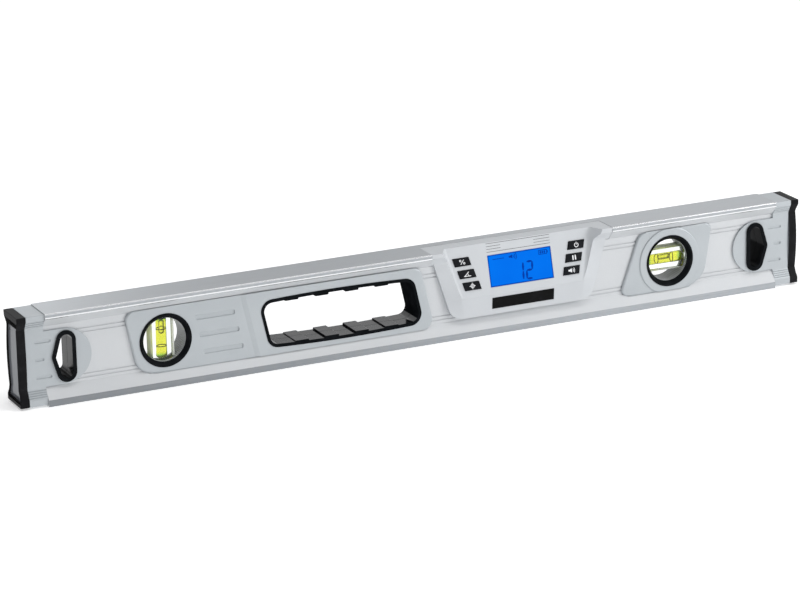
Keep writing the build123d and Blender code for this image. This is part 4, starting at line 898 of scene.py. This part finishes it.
def ring(u, v, outer, inner, start=0.0, sweep=360.0):
    """A round stroke, or the part of it that starts at one angle and sweeps on from there."""
    steps = max(FEWEST_STEPS, int(sweep / ARC_STEP))
    bpy.ops.mesh.primitive_plane_add(size=MM, location=(0, 0, 0))
    made = bpy.context.object
    bpy.ops.object.mode_set(mode="EDIT")
    bpy.ops.mesh.select_all(action="SELECT")
    bpy.ops.mesh.delete(type="ONLY_FACE")
    bpy.ops.object.mode_set(mode="OBJECT")
    corners = sorted(made.data.vertices, key=lambda c: (c.co.y, c.co.x))
    first = math.radians(start + sweep)
    for corner, reach in zip(corners, (inner, outer, inner, outer)):
        corner.co = Vector((math.cos(first), math.sin(first), 0)) * reach * MM
    bpy.ops.object.mode_set(mode="EDIT")
    bpy.ops.mesh.select_all(action="SELECT")
    bpy.ops.mesh.remove_doubles(threshold=STROKE_TOUCHING)
    bpy.ops.mesh.spin(steps=steps, angle=math.radians(sweep), center=(0, 0, 0), axis=(0, 0, 1))
    bpy.ops.mesh.select_all(action="SELECT")
    bpy.ops.mesh.remove_doubles(threshold=STROKE_TOUCHING)
    bpy.ops.mesh.normals_make_consistent(inside=False)
    bpy.ops.object.mode_set(mode="OBJECT")
    made.location = (u * MM, v * MM, 0)
    only(made)
    bpy.ops.object.transform_apply(location=True, rotation=True, scale=True)
    return made


def cone(u, v, low, high, length):
    """A stroke that widens from one end to the other."""
    bpy.ops.mesh.primitive_plane_add(size=MM, location=(u * MM, v * MM, 0))
    made = bpy.context.object
    made.scale = (length, low, 1)
    bpy.ops.object.transform_apply(location=True, rotation=True, scale=True)
    choose_edges(made, lambda end: end.x > u * MM)
    bpy.ops.transform.resize(value=(1, high / low, 1))
    bpy.ops.object.mode_set(mode="OBJECT")
    return made


def drawn(rows):
    """The strokes that rows of a kind of stroke and its values describe."""
    return [stroke(*values) for stroke, *values in rows]


print("strokes:", [stroke.__name__ for stroke in (strip, ring, cone)])

# %% [markdown]
# A print is a film of ink on the leaning panel. Its strokes are joined, made as thick as a film by a
# Solidify modifier, and laid on the panel in one move. A mask in the panel's own finish could show it too,
# but a film of its own keeps crisp edges however near one looks, and can ride on a key.

# %% Prints
PANEL_TURN = (math.pi / 2 - PANEL_LEAN, 0, 0)
INK = 0.03  # millimetres, as the lift is
PRINT_LIFT = 0.02


def lay(name, strokes, at, turn, body, ink, size=1.0):
    """Joins strokes, gives them the thickness of a print, and lays them on the surface at a place."""
    only(*strokes)
    bpy.ops.object.join()
    sign = bpy.context.object
    sign.name = name
    bpy.ops.object.mode_set(mode="EDIT")
    bpy.ops.mesh.select_all(action="SELECT")
    bpy.ops.mesh.normals_make_consistent(inside=False)
    bpy.ops.object.mode_set(mode="OBJECT")
    thick = sign.modifiers.new("print", "SOLIDIFY")
    thick.thickness = INK * MM
    thick.offset = 0
    bpy.ops.object.modifier_apply(modifier=thick.name)
    sign.location = at
    sign.rotation_euler = turn
    sign.scale = (size, size, 1)
    bpy.ops.object.transform_apply(location=True, rotation=True, scale=True)
    sign.data.materials.clear()
    sign.data.materials.append(ink)
    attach(sign, body)
    return sign


def on_panel(u, v, lift=PRINT_LIFT):
    """A point of the panel, by millimetres across from its middle, up from its top edge and off its face."""
    up = Vector((0, math.sin(PANEL_LEAN), math.cos(PANEL_LEAN)))
    out = Vector((0, -math.cos(PANEL_LEAN), math.sin(PANEL_LEAN)))
    return PANEL_AT + (Vector((1, 0, 0)) * u + up * v + out * lift) * MM


print("display centre is at", [round(c / MM, 1) for c in on_panel(0, -WINDOW_DOWN / MM)])

# %% [markdown]
# The display shows a two-digit reading. Each digit is made of long six-sided bars, as on any segment
# display, and leans a little to the right. A text object would need a font from a file, so the bars are
# modelled: a hexagon is added and its two halves are drawn apart.

# %% Digits on the display
DIGIT_LEAN = 4.0  # degrees
DIGIT_WIDTH = 4.4
DIGIT_HEIGHT = 12.0
BAR = 1.7
BAR_GAP = 0.25
ON_MIDDLE = 1e-6
READING_DOWN = 23.6


def segment(u, v, length, turn):
    """One bar of a digit."""
    bpy.ops.object.select_all(action="DESELECT")
    bpy.ops.mesh.primitive_circle_add(vertices=6, radius=BAR / 2 * MM, fill_type="NGON")
    made = bpy.context.object
    bpy.ops.object.transform_apply(location=True, rotation=True, scale=True)
    for corner in made.data.vertices:
        if abs(corner.co.x) > ON_MIDDLE:
            corner.co.x += math.copysign((length - BAR) / 2 * MM, corner.co.x)
    made.rotation_euler = (0, 0, math.radians(turn))
    made.location = (u * MM, v * MM, 0)
    bpy.ops.object.transform_apply(location=True, rotation=True, scale=True)
    return made


def digit(u, bars):
    """The bars of one digit that are lit, by their usual letters, with its middle at u."""
    lean = math.tan(math.radians(DIGIT_LEAN))
    side = DIGIT_WIDTH / 2
    high = DIGIT_HEIGHT / 4
    places = {
        "a": (0, 2 * high, 0), "g": (0, 0, 0), "d": (0, -2 * high, 0),
        "f": (-side, high, 90), "b": (side, high, 90),
        "e": (-side, -high, 90), "c": (side, -high, 90),
    }
    made = []
    for letter in bars:
        across, rise, turn = places[letter]
        length = (2 * high if turn else DIGIT_WIDTH) - BAR_GAP
        made.append(segment(u + across + rise * lean, rise, length, turn - (DIGIT_LEAN if turn else 0)))
    return made


def dark_segment(pen):
    edge = grain(pen, 1.2)
    return {
        "Base Color": tint(pen, edge, (0.0, 0.006, 0.04), (0.0, 0.010, 0.06)),
        "Emission Color": tint(pen, edge, (0.0, 0.030, 0.30), (0.0, 0.042, 0.36)),
        "Emission Strength": 1.0,
        "Roughness": 0.3,
        "Specular IOR Level": 0.03,
    }


segment_ink = finish("dark_segment", dark_segment)
reading = digit(-0.6, "bc") + digit(6.6, "abged")
at = on_panel(0, -READING_DOWN)
lay("display_reading", reading, at, PANEL_TURN, "level_body", segment_ink)
print("display: two digits of", len(reading), "bars")

# %% [markdown]
# A row of small icons stands above the digits: a dotted line, a loudspeaker with its sound, and a battery
# with three bars. They are segments of the same display, so they take the same ink. An icon font could
# hold them, but it would be a file, and they are only a few strokes each.

# %% Icons on the display
ICONS_DOWN = 12.6
ICON_ROWS = [(strip, -20.6 + 1.15 * i, 0, 0.9, 0.6) for i in range(8)]
ICON_ROWS += [(strip, -7.7, 0.2, 1.3, 1.3), (cone, -6.4, 0.2, 1.2, 2.9, 1.5)]
ICON_ROWS += [(ring, -6.2, 0.2, r, r - 0.5, -38, 76) for r in (1.7, 2.9, 4.1)]
ICON_ROWS += [(strip, 18.4, v, 6.4, 0.45) for v in (1.4, -1.4)]
ICON_ROWS += [(strip, u, 0, 3.2, 0.45, 90) for u in (15.2, 21.6)]
ICON_ROWS += [(strip, 22.1, 0, 1.4, 0.6, 90)]
ICON_ROWS += [(strip, 16.6 + 1.6 * i, 0, 1.7, 1.1, 90) for i in range(3)]

at = on_panel(0, -ICONS_DOWN)
icons = lay("display_icons", drawn(ICON_ROWS), at, PANEL_TURN, "level_body", segment_ink)
print(icons.name, len(ICON_ROWS), "strokes")

# %% [markdown]
# Above the display four pinstripes are printed on the silver panel. The outer two run the full width, and
# the inner two stop short of the middle, which stays bare. The ink is screen-printed, so its colour is
# broken up by fine dots: a plain colour would look like a cut in the paint.

# %% Pinstripes
STRIPES_DOWN = 4.0
STRIPE = 0.3
STRIPE_ROWS = [(strip, 0, v, 50, STRIPE) for v in (3.0, -3.0)]
for v in (1.0, -1.0):
    STRIPE_ROWS += [(strip, -19.4, v, 11.2, STRIPE), (strip, 18.6, v, 12.8, STRIPE)]


def screen_print(low, high):
    def recipe(pen):
        dots = grain(pen, 0.15)
        return {"Base Color": tint(pen, dots, low, high), "Roughness": 0.4 + dots * 0.15}

    return recipe


stripe_ink = finish("stripe_grey", screen_print((0.03, 0.03, 0.035), (0.08, 0.08, 0.09)))
at = on_panel(0, -STRIPES_DOWN)
stripes = lay("pinstripes", drawn(STRIPE_ROWS), at, PANEL_TURN, "level_body", stripe_ink)
print(stripes.name, len(STRIPE_ROWS), "strokes")

# %% [markdown]
# Each rubber key carries a white sign, and moves with its key when that is pressed. The signs are common
# ones: percent, angle, target, power, pause and loudspeaker. They could be one print, as the icons are,
# but then they would stay behind, so each is laid on its own key and rides on that key's body.

# %% Key signs
KEY_ACROSS = 45.0
KEY_ROW_STEP = 2.85
KEY_DOWN = 11.0
KEY_PITCH = 8.8
KEY_FACE = 0.9
SIGN_SIZE = 1.3
KEY_SIGNS = {
    "left_top": [(ring, -1.1, 0.75, 0.62, 0.3), (ring, 1.1, -0.75, 0.62, 0.3), (strip, 0, 0, 3.2, 0.36, 52)],
    "left_middle": [
        (strip, 0, -1.15, 4.2, 0.4), (strip, -0.35, 0.05, 3.3, 0.4, 42),
        (ring, -1.7, -1.15, 2.5, 2.15, 6, 34),
    ],
    "left_low": [(ring, 0, 0, 1.15, 0.8), (strip, 0, 0, 3.6, 0.34), (strip, 0, 0, 3.6, 0.34, 90)],
    "right_top": [(ring, 0, -0.1, 1.35, 0.95, 125, 290), (strip, 0, 0.75, 1.5, 0.42, 90)],
    "right_middle": [(strip, -0.75, 0, 2.6, 0.75, 90), (strip, 0.75, 0, 2.6, 0.75, 90)],
    "right_low": [
        (strip, -1.75, 0, 1.0, 1.0), (cone, -0.75, 0, 0.9, 2.4, 1.3),
        (ring, -0.4, 0, 1.35, 1.0, -40, 80), (ring, -0.4, 0, 2.15, 1.8, -40, 80),
    ],
}

legend_ink = finish("legend_white", screen_print((0.72, 0.73, 0.74), (0.86, 0.87, 0.88)))
for way, side in ((-1, "left"), (1, "right")):
    for row, height in enumerate(("top", "middle", "low")):
        key = f"key_{side}_{height}"
        strokes = drawn(KEY_SIGNS[f"{side}_{height}"])
        across = way * (KEY_ACROSS - KEY_ROW_STEP * row)
        at = on_panel(across, -(KEY_DOWN + KEY_PITCH * row), KEY_FACE + PRINT_LIFT)
        sign = lay(key + "_sign", strokes, at, PANEL_TURN, key + "_body", legend_ink, SIGN_SIZE)
        print(sign.name, len(sign.data.polygons), "faces")
